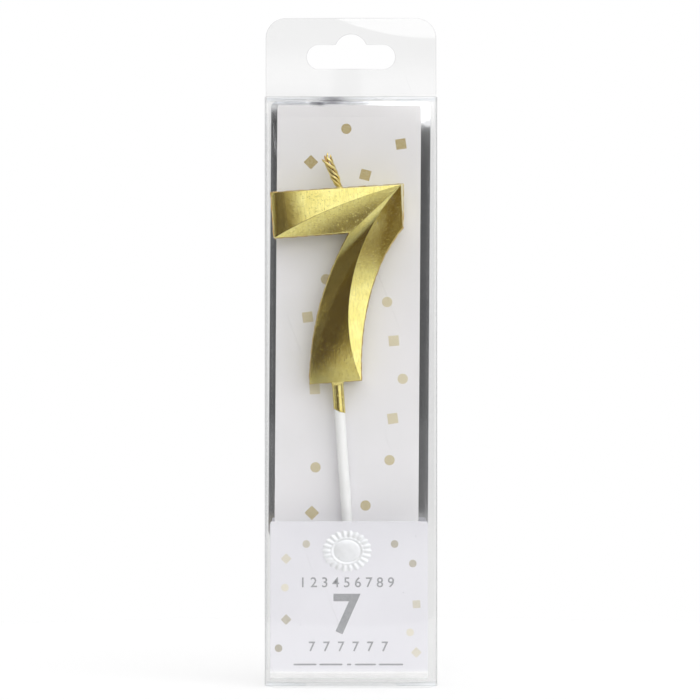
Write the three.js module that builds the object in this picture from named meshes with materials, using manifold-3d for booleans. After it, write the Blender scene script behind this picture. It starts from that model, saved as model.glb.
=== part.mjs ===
// A numeral seven candle, sold in a clear hanging box with a folded mirror card behind it.
// Millimetres, +Z up. X is the width, the window faces -Y, and the box stands on Z = 0.

import * as THREE from 'three';
import { mergeVertices } from 'three/addons/utils/BufferGeometryUtils.js';
import Module from 'manifold-3d';

const wasm = await Module();
wasm.setup();

// Clear folding box: sheet thickness, the hang tab, and the room that the box leaves round the candle
const sheet = 0.3;
const roomLeft = 1.55;
const roomRight = 9.69;
const roomInFront = 3.4;
const roomOverWick = 16;
const tabRise = 25;
const tabCornerRadius = 6.1;

// Hang slot: a long round-ended slot with a round hump for a single hook
const slotWidth = 27.2;
const slotHeight = 7.5;
const slotBelowTabTop = 11.9;
const slotHumpWidth = 9.5;
const slotHumpRise = 3.3;

// Tuck ends, the same at the top and at the bottom
const foldGap = 0.1;
const lidSideGap = 0.4;
const flapUnderLidGap = 0.1;
const tongueLength = 5;
const tongueExtraLean = THREE.MathUtils.degToRad(1.2);
const tongueTipTaper = 3;
const tongueToCardGap = 0.25;
const dustFlapLength = 12;
const dustFlapStart = 0.5;
const dustFlapTaper = 0.5;
const dustFlapToTongueGap = 0.7;

// Glue flap: the strip that closes the box's fourth corner
const glueFlapWidth = 8;
const glueFlapEndGap = 4;
const glueFlapEndSlope = 3;

// Folded card: a tall mirror back, a floor and an upright label, all of one sheet of card
const cardSideGap = 1.4;
const cardThickness = 0.4;
const cardTopGap = 0.6;
const cardCornerRadius = 1.8;
const cardShift = -0.6;
const cardFloorHeight = 2.4;
const labelInset = 0.5;
const labelBevel = 2.1;
const labelToTongueGap = 0.3;

// White printed face on the card, which leaves silver strips showing at its sides and top
const faceThickness = 0.1;
const silverLeft = 1.85;
const silverRight = 2.85;
const silverTop = 1.6;

// Numeral, drawn in its own upright plane with the stick's axis at x = 0 and its foot at z = 0
const barLeft = -16;
const numeralRight = 23.3;
const numeralHeight = 58.6;
const barHeight = 13.7;
const footLeft = -8.4;
const footRight = 7.2;
const innerCorner = 6.9;
const topRightDrop = 0.4;
const elbowInset = 0.3;
const edgeHalfThickness = 2.7;
const peakHalfThickness = 5.6;
const draftSlope = Math.tan(THREE.MathUtils.degToRad(3));
const peakFlare = 0.17;
const barSteps = 8;
const stemSteps = 12;

// Bends of the numeral's curves: each pair is a share of a width and a share of a height
const barRidgeBend = [0.425, 0.63];
const stemRidgeBends = [[-0.01, 0.725], [-0.43, 0.333]];
const leftEdgeBend = [0.128, 0.546];
const rightEdgeBends = [[0.317, 0.762], [0.025, 0.356]];

// Stick and the gold coat that runs a little way down it
const stickRadius = 1.6;
const stickBelowFoot = 70;
const stickShown = 42.1;
const stickOverBase = 22.1;
const stickInNumeral = 20;
const stickPointLength = 3;
const stickPointRadius = 0.7;
const coatWall = 0.13;
const coatGap = 0.04;
const coatLength = 9;
const coatEndSlope = 0.47;
const roundSides = 16;

// Wick: twisted strands that leave the top of the bar in a lean, drawn as one round solid
const wickAtBar = 4.7;
const wickLean = THREE.MathUtils.degToRad(18.6);
const wickLength = 11.3;
const wickBuried = 25;
const wickNeckRadius = 1.1;
const wickRadius = 1.55;
const wickTipRadius = 1.1;
const wickSwell = 1.35;
const wickSides = 12;
const boreGap = 0.2;

// Where the candle sits on the card
const candleLean = THREE.MathUtils.degToRad(4);
const candleToCardGap = 0.3;

// Strip of clear tape that holds the stick to the card behind the label
const tapeThickness = 0.2;
const tapeHeight = 11;
const tapeWidth = 19;
const tapeBelowLabelTop = 14;
const tapeToStickGap = 0.35;

// Sizes worked out from the ones above
const barBottom = numeralHeight - barHeight;
const footWidth = footRight - footLeft;
const leanCosine = Math.cos(candleLean);
const leanSine = Math.sin(candleLean);
const leftReach = -barLeft * leanCosine + numeralHeight * leanSine;
const rightReach = numeralRight * leanCosine - barBottom * leanSine;
const candleZ = stickOverBase + stickBelowFoot;
const boxWidth = 2 * sheet + roomLeft + leftReach + rightReach + roomRight;
const boxDepth = 2 * sheet + cardThickness + faceThickness + candleToCardGap
  + 2 * peakHalfThickness + roomInFront;
const boxHeight = candleZ + numeralHeight + wickLength + roomOverWick;
const candleX = -boxWidth / 2 + sheet + roomLeft + leftReach;
const cardWidth = boxWidth - 2 * sheet - 2 * cardSideGap;
const labelWidth = cardWidth - 2 * labelInset;
const labelTop = candleZ - stickShown;
const innerDepth = boxDepth - 2 * sheet;
const frontInside = -boxDepth / 2 + sheet;
const backInside = boxDepth / 2 - sheet;
const sideInside = boxWidth / 2 - sheet;
const cardFront = backInside - cardThickness;
const faceFront = cardFront - faceThickness;
const lidReach = innerDepth - cardThickness - faceThickness - tongueToCardGap;
const tongueLean = Math.asin(tongueLength / (2 * lidReach)) + tongueExtraLean;
const tongueRoot = lidReach - sheet / Math.cos(tongueLean);
const tongueInnerTip = lidReach - tongueLength * Math.sin(tongueLean) - sheet * Math.cos(tongueLean);
const tongueSweep = tongueRoot * Math.cos(tongueLean) + sheet * Math.sin(tongueLean);
const sidePanelInset = sheet + flapUnderLidGap;
const labelFront = backInside - tongueInnerTip + labelToTongueGap;
const cardTop = boxHeight - sheet - flapUnderLidGap - cardTopGap;
const candleContact = faceFront - candleToCardGap;
const candleTilt = Math.asin((peakHalfThickness - stickRadius) / (numeralHeight + stickBelowFoot));
const candleY = candleContact - peakHalfThickness * Math.cos(candleTilt)
  + numeralHeight * Math.sin(candleTilt);

// One material per piece, so that each keeps its own colour and finish
const clearSheet = () => new THREE.MeshStandardMaterial({
  color: 0xeef1f2, roughness: 0.12, metalness: 0, transparent: true, opacity: 0.25,
});
const mirrorCard = () => new THREE.MeshStandardMaterial({ color: 0xc4c6ca, roughness: 0.08, metalness: 1 });
const whiteCard = () => new THREE.MeshStandardMaterial({ color: 0xe6e6ea, roughness: 0.6, metalness: 0 });
const goldPaint = () => new THREE.MeshStandardMaterial({ color: 0xc9ab45, roughness: 0.3, metalness: 0.9 });
const whitePlastic = () => new THREE.MeshStandardMaterial({ color: 0xf0f1f0, roughness: 0.4, metalness: 0 });
const clearTape = () => new THREE.MeshStandardMaterial({
  color: 0xf4f4ee, roughness: 0.2, metalness: 0, transparent: true, opacity: 0.35,
});

function named(name, geometry, material) {
  const mesh = new THREE.Mesh(geometry, material);
  mesh.name = name;
  return mesh;
}

// A box between two corners
function block([x0, y0, z0], [x1, y1, z1]) {
  const geometry = new THREE.BoxGeometry(x1 - x0, y1 - y0, z1 - z0);
  return geometry.translate((x0 + x1) / 2, (y0 + y1) / 2, (z0 + z1) / 2);
}

// A flat shape drawn in X and Z, made solid from y = front to y = front + thickness
function upright(shape, thickness, front, curveSegments = 8) {
  const geometry = new THREE.ExtrudeGeometry(shape, { depth: thickness, bevelEnabled: false, curveSegments });
  return geometry.rotateX(Math.PI / 2).translate(0, front + thickness, 0);
}

// A section drawn in Y and Z, made solid across the width from x = -width / 2 to width / 2
function across(points, width) {
  const shape = new THREE.Shape(points.map(([y, z]) => new THREE.Vector2(y, z)));
  const geometry = new THREE.ExtrudeGeometry(shape, { depth: width, bevelEnabled: false });
  geometry.rotateX(Math.PI / 2).rotateZ(Math.PI / 2);
  return geometry.translate(-width / 2, 0, 0);
}

function toSolid(geometry) {
  const bare = geometry.index ? geometry.toNonIndexed() : geometry.clone();
  bare.deleteAttribute('normal');
  bare.deleteAttribute('uv');
  const merged = mergeVertices(bare, 1e-4);
  return new wasm.Manifold(new wasm.Mesh({
    numProp: 3,
    vertProperties: new Float32Array(merged.attributes.position.array),
    triVerts: new Uint32Array(merged.index.array),
  }));
}

function toGeometry(solid) {
  const mesh = solid.getMesh();
  const geometry = new THREE.BufferGeometry();
  geometry.setAttribute('position', new THREE.BufferAttribute(new Float32Array(mesh.vertProperties), 3));
  geometry.setIndex(new THREE.BufferAttribute(new Uint32Array(mesh.triVerts), 1));
  return geometry;
}

// A round solid about the Z axis from a list of radius and height pairs, which starts and ends on the axis
function turned(profile, sides) {
  const points = profile.map(([radius, height]) => new THREE.Vector2(radius, height));
  return new THREE.LatheGeometry(points, sides).rotateX(Math.PI / 2);
}

function rod(radius, bottom, top, sides) {
  return turned([[0, bottom], [radius, bottom], [radius, top], [0, top]], sides);
}

// The back panel's outline with the hang tab's round corners, less the hang slot
function backPanelShape() {
  const half = boxWidth / 2;
  const top = boxHeight + tabRise;
  const shape = new THREE.Shape();
  shape.moveTo(-half, 0);
  shape.lineTo(half, 0);
  shape.lineTo(half, top - tabCornerRadius);
  shape.absarc(half - tabCornerRadius, top - tabCornerRadius, tabCornerRadius, 0, Math.PI / 2);
  shape.absarc(-half + tabCornerRadius, top - tabCornerRadius, tabCornerRadius, Math.PI / 2, Math.PI);
  shape.closePath();
  shape.holes.push(hangSlotPath());
  return shape;
}

function hangSlotPath() {
  const end = slotHeight / 2;
  const reach = slotWidth / 2 - end;
  const middle = boxHeight + tabRise - slotBelowTabTop;
  const humpHalf = slotHumpWidth / 2;
  const humpRadius = (humpHalf ** 2 + slotHumpRise ** 2) / (2 * slotHumpRise);
  const humpCentre = middle + end + slotHumpRise - humpRadius;
  const humpAngle = Math.asin(humpHalf / humpRadius);
  const path = new THREE.Path();
  path.absarc(-reach, middle, end, Math.PI / 2, Math.PI * 1.5);
  path.absarc(reach, middle, end, -Math.PI / 2, Math.PI / 2);
  path.absarc(0, humpCentre, humpRadius, Math.PI / 2 - humpAngle, Math.PI / 2 + humpAngle);
  path.closePath();
  return path;
}

function boxWalls() {
  const half = boxWidth / 2;
  const walls = new THREE.Group();
  const sideBottom = sidePanelInset;
  const sideTop = boxHeight - sidePanelInset;
  walls.add(
    named('front_window', block([-half, -boxDepth / 2, 0], [half, frontInside, boxHeight]), clearSheet()),
    named('left_side_panel', block([-half, frontInside, sideBottom], [-sideInside, backInside, sideTop]),
      clearSheet()),
    named('right_side_panel', block([sideInside, frontInside, sideBottom], [half, backInside, sideTop]),
      clearSheet()),
    named('back_panel_with_hang_tab', upright(backPanelShape(), sheet, backInside), clearSheet()),
    glueFlap(),
  );
  return walls;
}

// The glue flap lies flat inside the left side panel, with sloped ends
function glueFlap() {
  const back = backInside - foldGap;
  const front = back - glueFlapWidth;
  const bottom = glueFlapEndGap;
  const top = boxHeight - glueFlapEndGap;
  const outline = [
    [back, bottom],
    [back, top],
    [front, top - glueFlapEndSlope],
    [front, bottom + glueFlapEndSlope],
  ];
  const geometry = across(outline, sheet).translate(-sideInside + sheet / 2, 0, 0);
  return named('glue_flap', geometry, clearSheet());
}

// One tuck end about its hinge: X along the fold, +Y to the far panel and +Z out of the box
function tuckEnd(prefix, leftSide, rightSide) {
  const lidHalf = boxWidth / 2 - lidSideGap;
  const end = new THREE.Group();
  end.add(
    named(`${prefix}_lid`, block([-lidHalf, foldGap, -sheet], [lidHalf, lidReach, 0]), clearSheet()),
    named(`${prefix}_tuck_tongue`, tuckTongue(lidHalf), clearSheet()),
    named(`${prefix}_dust_flap_${leftSide}`, dustFlap(-1), clearSheet()),
    named(`${prefix}_dust_flap_${rightSide}`, dustFlap(1), clearSheet()),
  );
  return end;
}

// The tongue leans in, so that its tip swings out no further than its root; it narrows towards its tip
function tuckTongue(lidHalf) {
  const sine = Math.sin(tongueLean);
  const cosine = Math.cos(tongueLean);
  const tipY = lidReach - tongueLength * sine;
  const tipZ = -sheet - tongueLength * cosine;
  const section = [
    [lidReach, -sheet],
    [tongueRoot, -sheet],
    [tongueInnerTip, tipZ + sheet * sine],
    [tipY, tipZ],
  ];
  const geometry = across(section, 2 * lidHalf);
  const position = geometry.attributes.position;
  const narrowing = 1 - tongueTipTaper / lidHalf;
  for (let i = 0; i < position.count; i += 1) {
    if (position.getZ(i) < tipZ / 2) position.setX(i, position.getX(i) * narrowing);
  }
  return geometry;
}

// A dust flap springs from a side panel's edge; its front edge slopes back to stay under the lid
function dustFlap(side) {
  const inset = foldGap;
  const tip = dustFlapLength;
  const rear = tongueSweep - dustFlapToTongueGap;
  const points = [
    [inset, dustFlapStart],
    [tip, dustFlapStart + tip * dustFlapTaper],
    [tip, rear],
    [inset, rear],
  ];
  const shape = new THREE.Shape(
    points.map(([fromSide, y]) => new THREE.Vector2(side * (sideInside - fromSide), y)),
  );
  const geometry = new THREE.ExtrudeGeometry(shape, { depth: sheet, bevelEnabled: false });
  return geometry.translate(0, 0, -2 * sheet - flapUnderLidGap);
}

function topEnd() {
  const end = tuckEnd('top', 'left', 'right');
  end.position.set(0, frontInside, boxHeight);
  return end;
}

// The bottom end is the top end turned half round, so its lid folds from the back panel
function bottomEnd() {
  const end = tuckEnd('bottom', 'left', 'right');
  end.rotation.x = Math.PI;
  end.position.set(0, backInside, 0);
  return end;
}

function backingCardShape() {
  const left = cardShift - cardWidth / 2;
  const right = cardShift + cardWidth / 2;
  const radius = cardCornerRadius;
  const shape = new THREE.Shape();
  shape.moveTo(left, cardFloorHeight);
  shape.lineTo(right, cardFloorHeight);
  shape.absarc(right - radius, cardTop - radius, radius, 0, Math.PI / 2);
  shape.absarc(left + radius, cardTop - radius, radius, Math.PI / 2, Math.PI);
  shape.closePath();
  return shape;
}

// The card's back, floor and label meet along its two folds
function foldedCard() {
  const card = new THREE.Group();
  const faceLeft = cardShift - cardWidth / 2 + silverLeft;
  const faceRight = cardShift + cardWidth / 2 - silverRight;
  const floorTop = cardFloorHeight + cardThickness;
  const labelHalf = labelWidth / 2;
  const labelFoot = cardFloorHeight + labelBevel;
  const face = block([faceLeft, faceFront, floorTop + foldGap],
    [faceRight, cardFront, cardTop - silverTop]);
  const label = block([cardShift - labelHalf, labelFront, labelFoot],
    [cardShift + labelHalf, labelFront + cardThickness, labelTop]);
  card.add(
    named('backing_card', upright(backingCardShape(), cardThickness, cardFront, 4), mirrorCard()),
    named('printed_face', face, whiteCard()),
    named('card_floor', cardFloor(labelFoot), whiteCard()),
    named('label_panel', label, whiteCard()),
  );
  return card;
}

// The floor runs forward from the back and turns up through a bevel to the label's foot
function cardFloor(labelFoot) {
  const floorTop = cardFloorHeight + cardThickness;
  const bendRun = cardThickness * Math.tan(Math.PI / 8);
  const section = [
    [cardFront, cardFloorHeight],
    [cardFront, floorTop],
    [labelFront + labelBevel + bendRun, floorTop],
    [labelFront + cardThickness, labelFoot - bendRun],
    [labelFront + cardThickness, labelFoot],
    [labelFront, labelFoot],
    [labelFront + labelBevel, cardFloorHeight],
  ];
  return across(section, labelWidth).translate(cardShift, 0, 0);
}

// Points along a straight line or a Bezier curve in the numeral's plane
function sample(points, steps) {
  const vectors = points.map(([x, z]) => new THREE.Vector2(x, z));
  const curves = { 2: THREE.LineCurve, 3: THREE.QuadraticBezierCurve, 4: THREE.CubicBezierCurve };
  return new curves[points.length](...vectors).getPoints(steps).map((p) => [p.x, p.y]);
}

// The face of the numeral: an outline, and two ridges that both climb to the top right corner.
// Each outline point carries its height above the numeral's middle plane.
function numeralLines() {
  const low = edgeHalfThickness;
  const peak = peakHalfThickness;
  const topLeft = [barLeft, numeralHeight];
  const topRight = [numeralRight, numeralHeight - topRightDrop];
  const barCorner = [barLeft, barBottom];
  const inner = [innerCorner, barBottom];
  const elbow = [numeralRight - elbowInset, barBottom + elbowInset];
  const footStart = [footLeft, 0];
  const footEnd = [footRight, 0];
  const bend = (startX, width, startZ, height) => ([x, z]) => [startX + x * width, startZ + z * height];
  const barBend = bend(barLeft, numeralRight - barLeft, barBottom, barHeight)(barRidgeBend);
  const ridgeBends = stemRidgeBends.map(bend(footRight, footWidth, 0, numeralHeight));
  const leftBend = bend(footLeft, footWidth, 0, barBottom)(leftEdgeBend);
  const rightBends = rightEdgeBends.map(bend(footRight, numeralRight - footRight, 0, barBottom));
  const withHeight = (points, from, to) => points.map(([x, z], i) => {
    const share = i / (points.length - 1);
    return [x, z, from + (to - from) * share];
  });
  return {
    top: withHeight(sample([topLeft, topRight], barSteps), low, peak),
    barRidge: withHeight(sample([barCorner, barBend, topRight], barSteps), low, peak),
    barEdge: withHeight(sample([barCorner, inner], barSteps), low, low),
    stemRidge: withHeight(sample([topRight, ...ridgeBends, footEnd], stemSteps), peak, low),
    leftEdge: withHeight(sample([inner, leftBend, footStart], stemSteps), low, low),
    rightEdge: withHeight(sample([elbow, ...rightBends, footEnd], stemSteps), low, low),
  };
}

// Pushes each outline point outward, square to the outline, by the draft that its height calls for.
// Towards the peak the wall also flares to the right.
function draftedOutline(outline) {
  const count = outline.length;
  return outline.map(([x, z, height], i) => {
    const before = outline[(i + count - 1) % count];
    const after = outline[(i + 1) % count];
    const into = new THREE.Vector2(x - before[0], z - before[1]).normalize();
    const out = new THREE.Vector2(after[0] - x, after[1] - z).normalize();
    const normal = new THREE.Vector2(into.y + out.y, -into.x - out.x).normalize();
    const miter = Math.min(1 / Math.max(normal.dot(new THREE.Vector2(into.y, -into.x)), 0.5), 1.6);
    const push = height * draftSlope * miter;
    const flare = (height - edgeHalfThickness) * peakFlare;
    return [x + normal.x * push + flare, z + normal.y * push, 0];
  });
}

// Adds the triangles between two rows of points, skipping the ones with no area
function strip(triangles, rowA, rowB) {
  const same = (a, b) => a.every((value, i) => Math.abs(value - b[i]) < 1e-6);
  const add = (a, b, c) => {
    if (!same(a, b) && !same(b, c) && !same(a, c)) triangles.push([a, b, c]);
  };
  for (let i = 0; i + 1 < rowA.length; i += 1) {
    add(rowA[i], rowB[i], rowB[i + 1]);
    add(rowA[i], rowB[i + 1], rowA[i + 1]);
  }
}

// The cast numeral: the same faceted face on the front and on the back of a drafted side wall
function numeralSolid() {
  const lines = numeralLines();
  const half = [];
  strip(half, lines.top, lines.barRidge);
  strip(half, lines.barRidge, lines.barEdge);
  strip(half, lines.stemRidge, lines.leftEdge);
  strip(half, lines.rightEdge, lines.stemRidge);
  const outline = [
    lines.top[0],
    ...lines.barEdge,
    ...lines.leftEdge.slice(1),
    ...[...lines.rightEdge].reverse(),
    ...[...lines.top].reverse().slice(0, -1),
  ];
  const parting = draftedOutline(outline);
  strip(half, [...outline, outline[0]], [...parting, parting[0]]);
  const positions = [];
  for (const [a, b, c] of half) {
    for (const [x, z, height] of [a, b, c]) positions.push(x, -height, z);
    for (const [x, z, height] of [a, c, b]) positions.push(x, height, z);
  }
  const geometry = new THREE.BufferGeometry();
  geometry.setAttribute('position', new THREE.Float32BufferAttribute(positions, 3));
  return geometry;
}

function wickPlace(geometry) {
  return geometry.rotateY(-wickLean).translate(wickAtBar, 0, numeralHeight);
}

// The numeral has a blind hole up its foot for the stick and one down through the bar for the wick
function numeralBody() {
  const stickHole = rod(stickRadius + boreGap, -stickBelowFoot, stickInNumeral + boreGap, roundSides);
  const wickHole = wickPlace(rod(wickNeckRadius + boreGap, -wickBuried - boreGap, wickLength, wickSides));
  const solid = toSolid(numeralSolid()).subtract(toSolid(stickHole)).subtract(toSolid(wickHole));
  return named('number_body', toGeometry(solid), goldPaint());
}

function wick() {
  const profile = [
    [0, -wickBuried],
    [wickNeckRadius, -wickBuried],
    [wickNeckRadius, wickSwell],
    [wickRadius, 3 * wickSwell],
    [wickRadius, wickLength - wickSwell],
    [wickTipRadius, wickLength],
    [0, wickLength],
  ];
  return named('wick', wickPlace(turned(profile, wickSides)), goldPaint());
}

function stick() {
  const profile = [
    [0, -stickBelowFoot],
    [stickPointRadius, -stickBelowFoot],
    [stickRadius, -stickBelowFoot + stickPointLength],
    [stickRadius, stickInNumeral],
    [0, stickInNumeral],
  ];
  return named('stick', turned(profile, roundSides), whitePlastic());
}

// The coat's lower edge slants, longer on the right
function stickCoat() {
  const inner = stickRadius + coatGap;
  const outer = inner + coatWall;
  const top = -edgeHalfThickness * draftSlope - boreGap;
  const bottom = -coatLength - outer;
  const wall = [[inner, bottom], [outer, bottom], [outer, top], [inner, top], [inner, bottom]];
  const tube = turned(wall, roundSides);
  const drop = 4 * outer;
  const knife = new THREE.BoxGeometry(4 * drop, 2 * drop, drop);
  knife.translate(0, 0, -drop / 2).rotateY(Math.atan(coatEndSlope)).translate(0, 0, -coatLength);
  return named('stick_gold_coat', toGeometry(toSolid(tube).subtract(toSolid(knife))), goldPaint());
}

function candle() {
  const group = new THREE.Group();
  group.add(numeralBody(), wick(), stick(), stickCoat());
  group.rotation.set(candleTilt, -candleLean, 0, 'YXZ');
  group.position.set(candleX, candleY, candleZ);
  return group;
}

// The tape lies on the card's face on both sides and arches over the stick, square to it
function tapeStrip() {
  const tapeZ = labelTop - tapeBelowLabelTop;
  const below = (candleZ - tapeZ) / leanCosine;
  const stickY = candleY + below * Math.sin(candleTilt);
  const rise = faceFront - stickY;
  const inner = stickRadius + tapeToStickGap;
  const outer = inner + tapeThickness;
  const half = tapeWidth / 2;
  const shape = new THREE.Shape();
  shape.moveTo(-half, 0);
  shape.lineTo(-half, tapeThickness);
  shape.lineTo(-outer, tapeThickness);
  shape.absarc(0, rise, outer, Math.PI, 0, true);
  shape.lineTo(outer, tapeThickness);
  shape.lineTo(half, tapeThickness);
  shape.lineTo(half, 0);
  shape.lineTo(inner, 0);
  shape.absarc(0, rise, inner, 0, Math.PI, false);
  shape.lineTo(-inner, 0);
  shape.closePath();
  const geometry = new THREE.ExtrudeGeometry(shape, {
    depth: tapeHeight, bevelEnabled: false, curveSegments: roundSides / 2,
  });
  geometry.rotateZ(Math.PI).translate(0, 0, -tapeHeight / 2);
  const mesh = named('tape_strip', geometry, clearTape());
  mesh.rotation.y = -candleLean;
  mesh.position.set(candleX + below * leanSine, faceFront, tapeZ);
  return mesh;
}

const pack = new THREE.Group();
pack.add(boxWalls(), topEnd(), bottomEnd(), foldedCard(), tapeStrip(), candle());

export default pack;
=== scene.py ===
# %% [markdown]
# # A gold numeral candle in its clear hanging box
# The real object is a cast wax seven, painted gold, on a white stick. A strip of tape holds the stick to a
# folded mirror card, and the card stands in a clear folding box with a hang tab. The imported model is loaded
# first and never moved. Where its plain solids look right they stay and get a better material, and where the
# real piece is rounded, bent, twisted or printed, a surface worked out here takes their place.

# %% Load the fixed frame
import math

import bmesh
import bpy
import numpy as np
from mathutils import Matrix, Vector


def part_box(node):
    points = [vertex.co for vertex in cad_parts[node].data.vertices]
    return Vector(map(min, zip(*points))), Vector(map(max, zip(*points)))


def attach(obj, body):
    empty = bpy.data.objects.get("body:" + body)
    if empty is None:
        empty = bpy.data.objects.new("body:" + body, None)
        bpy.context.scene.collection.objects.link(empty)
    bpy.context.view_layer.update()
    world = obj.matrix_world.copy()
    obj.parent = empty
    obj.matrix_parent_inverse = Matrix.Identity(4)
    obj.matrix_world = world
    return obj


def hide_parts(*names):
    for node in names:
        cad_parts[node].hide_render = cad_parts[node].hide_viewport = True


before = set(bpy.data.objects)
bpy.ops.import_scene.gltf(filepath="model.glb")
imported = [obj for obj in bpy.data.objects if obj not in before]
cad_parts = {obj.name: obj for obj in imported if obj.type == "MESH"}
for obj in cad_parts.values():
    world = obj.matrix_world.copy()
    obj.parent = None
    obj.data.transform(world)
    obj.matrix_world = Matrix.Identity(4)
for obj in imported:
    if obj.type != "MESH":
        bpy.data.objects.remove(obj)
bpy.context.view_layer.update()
MM = 0.001


def node_box(node):
    """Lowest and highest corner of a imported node, in millimetres."""
    return [np.array(corner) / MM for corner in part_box(node)]


print("packed nodes:", len(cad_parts))

# %% [markdown]
# ## Camera
# The pack is photographed straight from the front by a long lens: the front of the box looks only a little
# wider than its back. A camera about 1.1 metres away, level with the middle of the picture, gives that. The
# same two numbers turn a place in the picture into a place on any upright plane of the object, which is how
# the printed confetti finds its place.

# %% Camera and its picture scale
PICTURE_SIDE = 700
CAMERA_X, CAMERA_Z = -0.3, 101.7
CAMERA_BACK = 1108.0
PICTURE_WIDTH = 210.6
PICTURE_PLANE = -8.0
SENSOR_WIDTH = 36.0

camera = bpy.data.objects.new("camera", bpy.data.cameras.new("camera"))
bpy.context.scene.collection.objects.link(camera)
camera.location = (CAMERA_X * MM, -CAMERA_BACK * MM, CAMERA_Z * MM)
camera.rotation_euler = (math.radians(90), 0, 0)
camera.data.sensor_width = SENSOR_WIDTH
camera.data.lens = SENSOR_WIDTH * (CAMERA_BACK + PICTURE_PLANE) / PICTURE_WIDTH
bpy.context.scene.camera = camera
bpy.context.scene.view_settings.view_transform = "Standard"


def from_picture(column, row, depth):
    """A picture point as x and z in millimetres on the upright plane y = depth: the offset from the picture's
    middle, times the width that one picture point covers at that distance."""
    share = PICTURE_WIDTH / PICTURE_SIDE * (CAMERA_BACK + depth) / (CAMERA_BACK + PICTURE_PLANE)
    half = PICTURE_SIDE / 2
    return CAMERA_X + (column - half) * share, CAMERA_Z + (half - row) * share


print("one picture point covers", round(from_picture(351, 350, 7.2)[0] - CAMERA_X, 4), "mm on the card")

# %% [markdown]
# ## Making meshes from arrays
# Every new piece is a surface worked out as an array of points. A few helpers do the rest: they join a grid
# of points with four-sided faces, close a row of rings at both ends, give a surface the thickness of a sheet,
# and put points and faces into a mesh object with its body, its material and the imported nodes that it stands
# for.

# %% Grids of points
def grid_faces(rows, columns, closed_across=False):
    """Four-sided faces of a grid: each joins a point, its neighbour across, and the two under them. Closed
    across, the last column joins the first."""
    index = np.arange(rows * columns).reshape(rows, columns)
    if closed_across:
        index = np.concatenate([index, index[:, :1]], axis=1)
    quads = [index[:-1, :-1], index[:-1, 1:], index[1:, 1:], index[1:, :-1]]
    return np.stack(quads, -1).reshape(-1, 4).tolist()


def round_angles(count):
    """Directions evenly spaced once round, in radians."""
    return np.arange(count) / count * 2 * np.pi


def capped_rings(rings):
    """Points and faces of a form given as rings of points, one after the other, with a flat cap on the first
    ring and on the last."""
    rows, columns = rings.shape[:2]
    last = (rows - 1) * columns
    caps = [list(range(columns)), list(range(last, last + columns))]
    return rings.reshape(-1, 3), grid_faces(rows, columns, closed_across=True) + caps


def unit(vectors):
    """Vectors divided by their own lengths."""
    return vectors / np.maximum(np.linalg.norm(vectors, axis=-1, keepdims=True), 1e-12)


def filled(line, step):
    """A line with points added along it, so that no two are further apart than step."""
    reach = np.concatenate([[0], np.cumsum(np.linalg.norm(np.diff(line, axis=0), axis=1))])
    wanted = np.union1d(reach, np.arange(0, reach[-1], step))
    wanted = wanted[np.concatenate([[True], np.diff(wanted) > step * 0.02])]
    return np.stack([np.interp(wanted, reach, line[:, k]) for k in range(line.shape[1])], -1)


def rounded_line(corners, radii, arc_steps=6):
    """A line through corners: straight runs, and at each inner corner an arc of its radius that touches both
    runs. The arc's centre lies on the line that halves the corner."""
    corners = np.asarray(corners, float)
    runs = [corners[:1]]
    for before, at, after, radius in zip(corners[:-2], corners[1:-1], corners[2:], radii):
        back, on = unit(before - at), unit(after - at)
        half = math.acos(float(np.clip(back @ on, -1, 1))) / 2
        centre = at + unit(back + on) * radius / math.sin(half)
        spokes = [at + back * radius / math.tan(half) - centre, at + on * radius / math.tan(half) - centre]
        first, last = [math.atan2(spoke[1], spoke[0]) for spoke in spokes]
        sweep = (last - first + math.pi) % (2 * math.pi) - math.pi
        angle = first + np.linspace(0, 1, arc_steps + 1) * sweep
        runs.append(centre + radius * np.stack([np.cos(angle), np.sin(angle)], -1))
    runs.append(corners[-1:])
    return np.concatenate(runs)


# %% A sheet with two skins and a rounded rim
def thick_sheet(surface, thickness, closed_across=False):
    """Points and faces of a sheet. Each point of the middle surface moves half the thickness along the
    surface's normal to both sides, and a rim that stands out by a third of it joins the two skins."""
    rows, columns = surface.shape[:2]
    along = np.gradient(surface, axis=0)
    if closed_across:
        over = np.roll(surface, -1, 1) - np.roll(surface, 1, 1)
    else:
        over = np.gradient(surface, axis=1)
    normal = unit(np.cross(over, along)).reshape(-1, 3)
    flat = surface.reshape(-1, 3)
    index = np.arange(rows * columns).reshape(rows, columns)
    if closed_across:
        rims = [index[0], index[-1][::-1]]
        inner = np.clip(np.arange(rows), 1, rows - 2)[:, None] * columns + np.arange(columns)[None]
    else:
        rims = [np.concatenate([index[0, :-1], index[:-1, -1], index[-1, :0:-1], index[:0:-1, 0]])]
        inner = index[np.clip(np.arange(rows), 1, rows - 2)][:, np.clip(np.arange(columns), 1, columns - 2)]
    inner = inner.reshape(-1)
    skins = grid_faces(rows, columns, closed_across)
    faces = skins + (np.array(skins)[:, ::-1] + len(flat)).tolist()
    points = [flat + normal * thickness / 2, flat - normal * thickness / 2]
    start = 2 * len(flat)
    for rim in rims:
        out = flat[rim] - flat[inner[rim]]
        out = unit(out - (out * normal[rim]).sum(1, keepdims=True) * normal[rim])
        points.append(flat[rim] + out * thickness / 3)
        middle = start + np.arange(len(rim))
        start += len(rim)
        ahead, middle_ahead = np.roll(rim, -1), np.roll(middle, -1)
        faces += np.stack([ahead, rim, middle, middle_ahead], -1).tolist()
        faces += np.stack([middle_ahead, middle, rim + len(flat), ahead + len(flat)], -1).tolist()
    return np.concatenate(points), faces


def rim_shade_marks(points, surface, strength):
    """A value for each point of such a sheet: strength along the rim and 0 on both skins. The clear sheet's
    material reads it as painted shade along the cut edges, where a clear sheet looks darker."""
    marks = np.zeros(len(points))
    marks[2 * surface.shape[0] * surface.shape[1]:] = strength
    return marks


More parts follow.
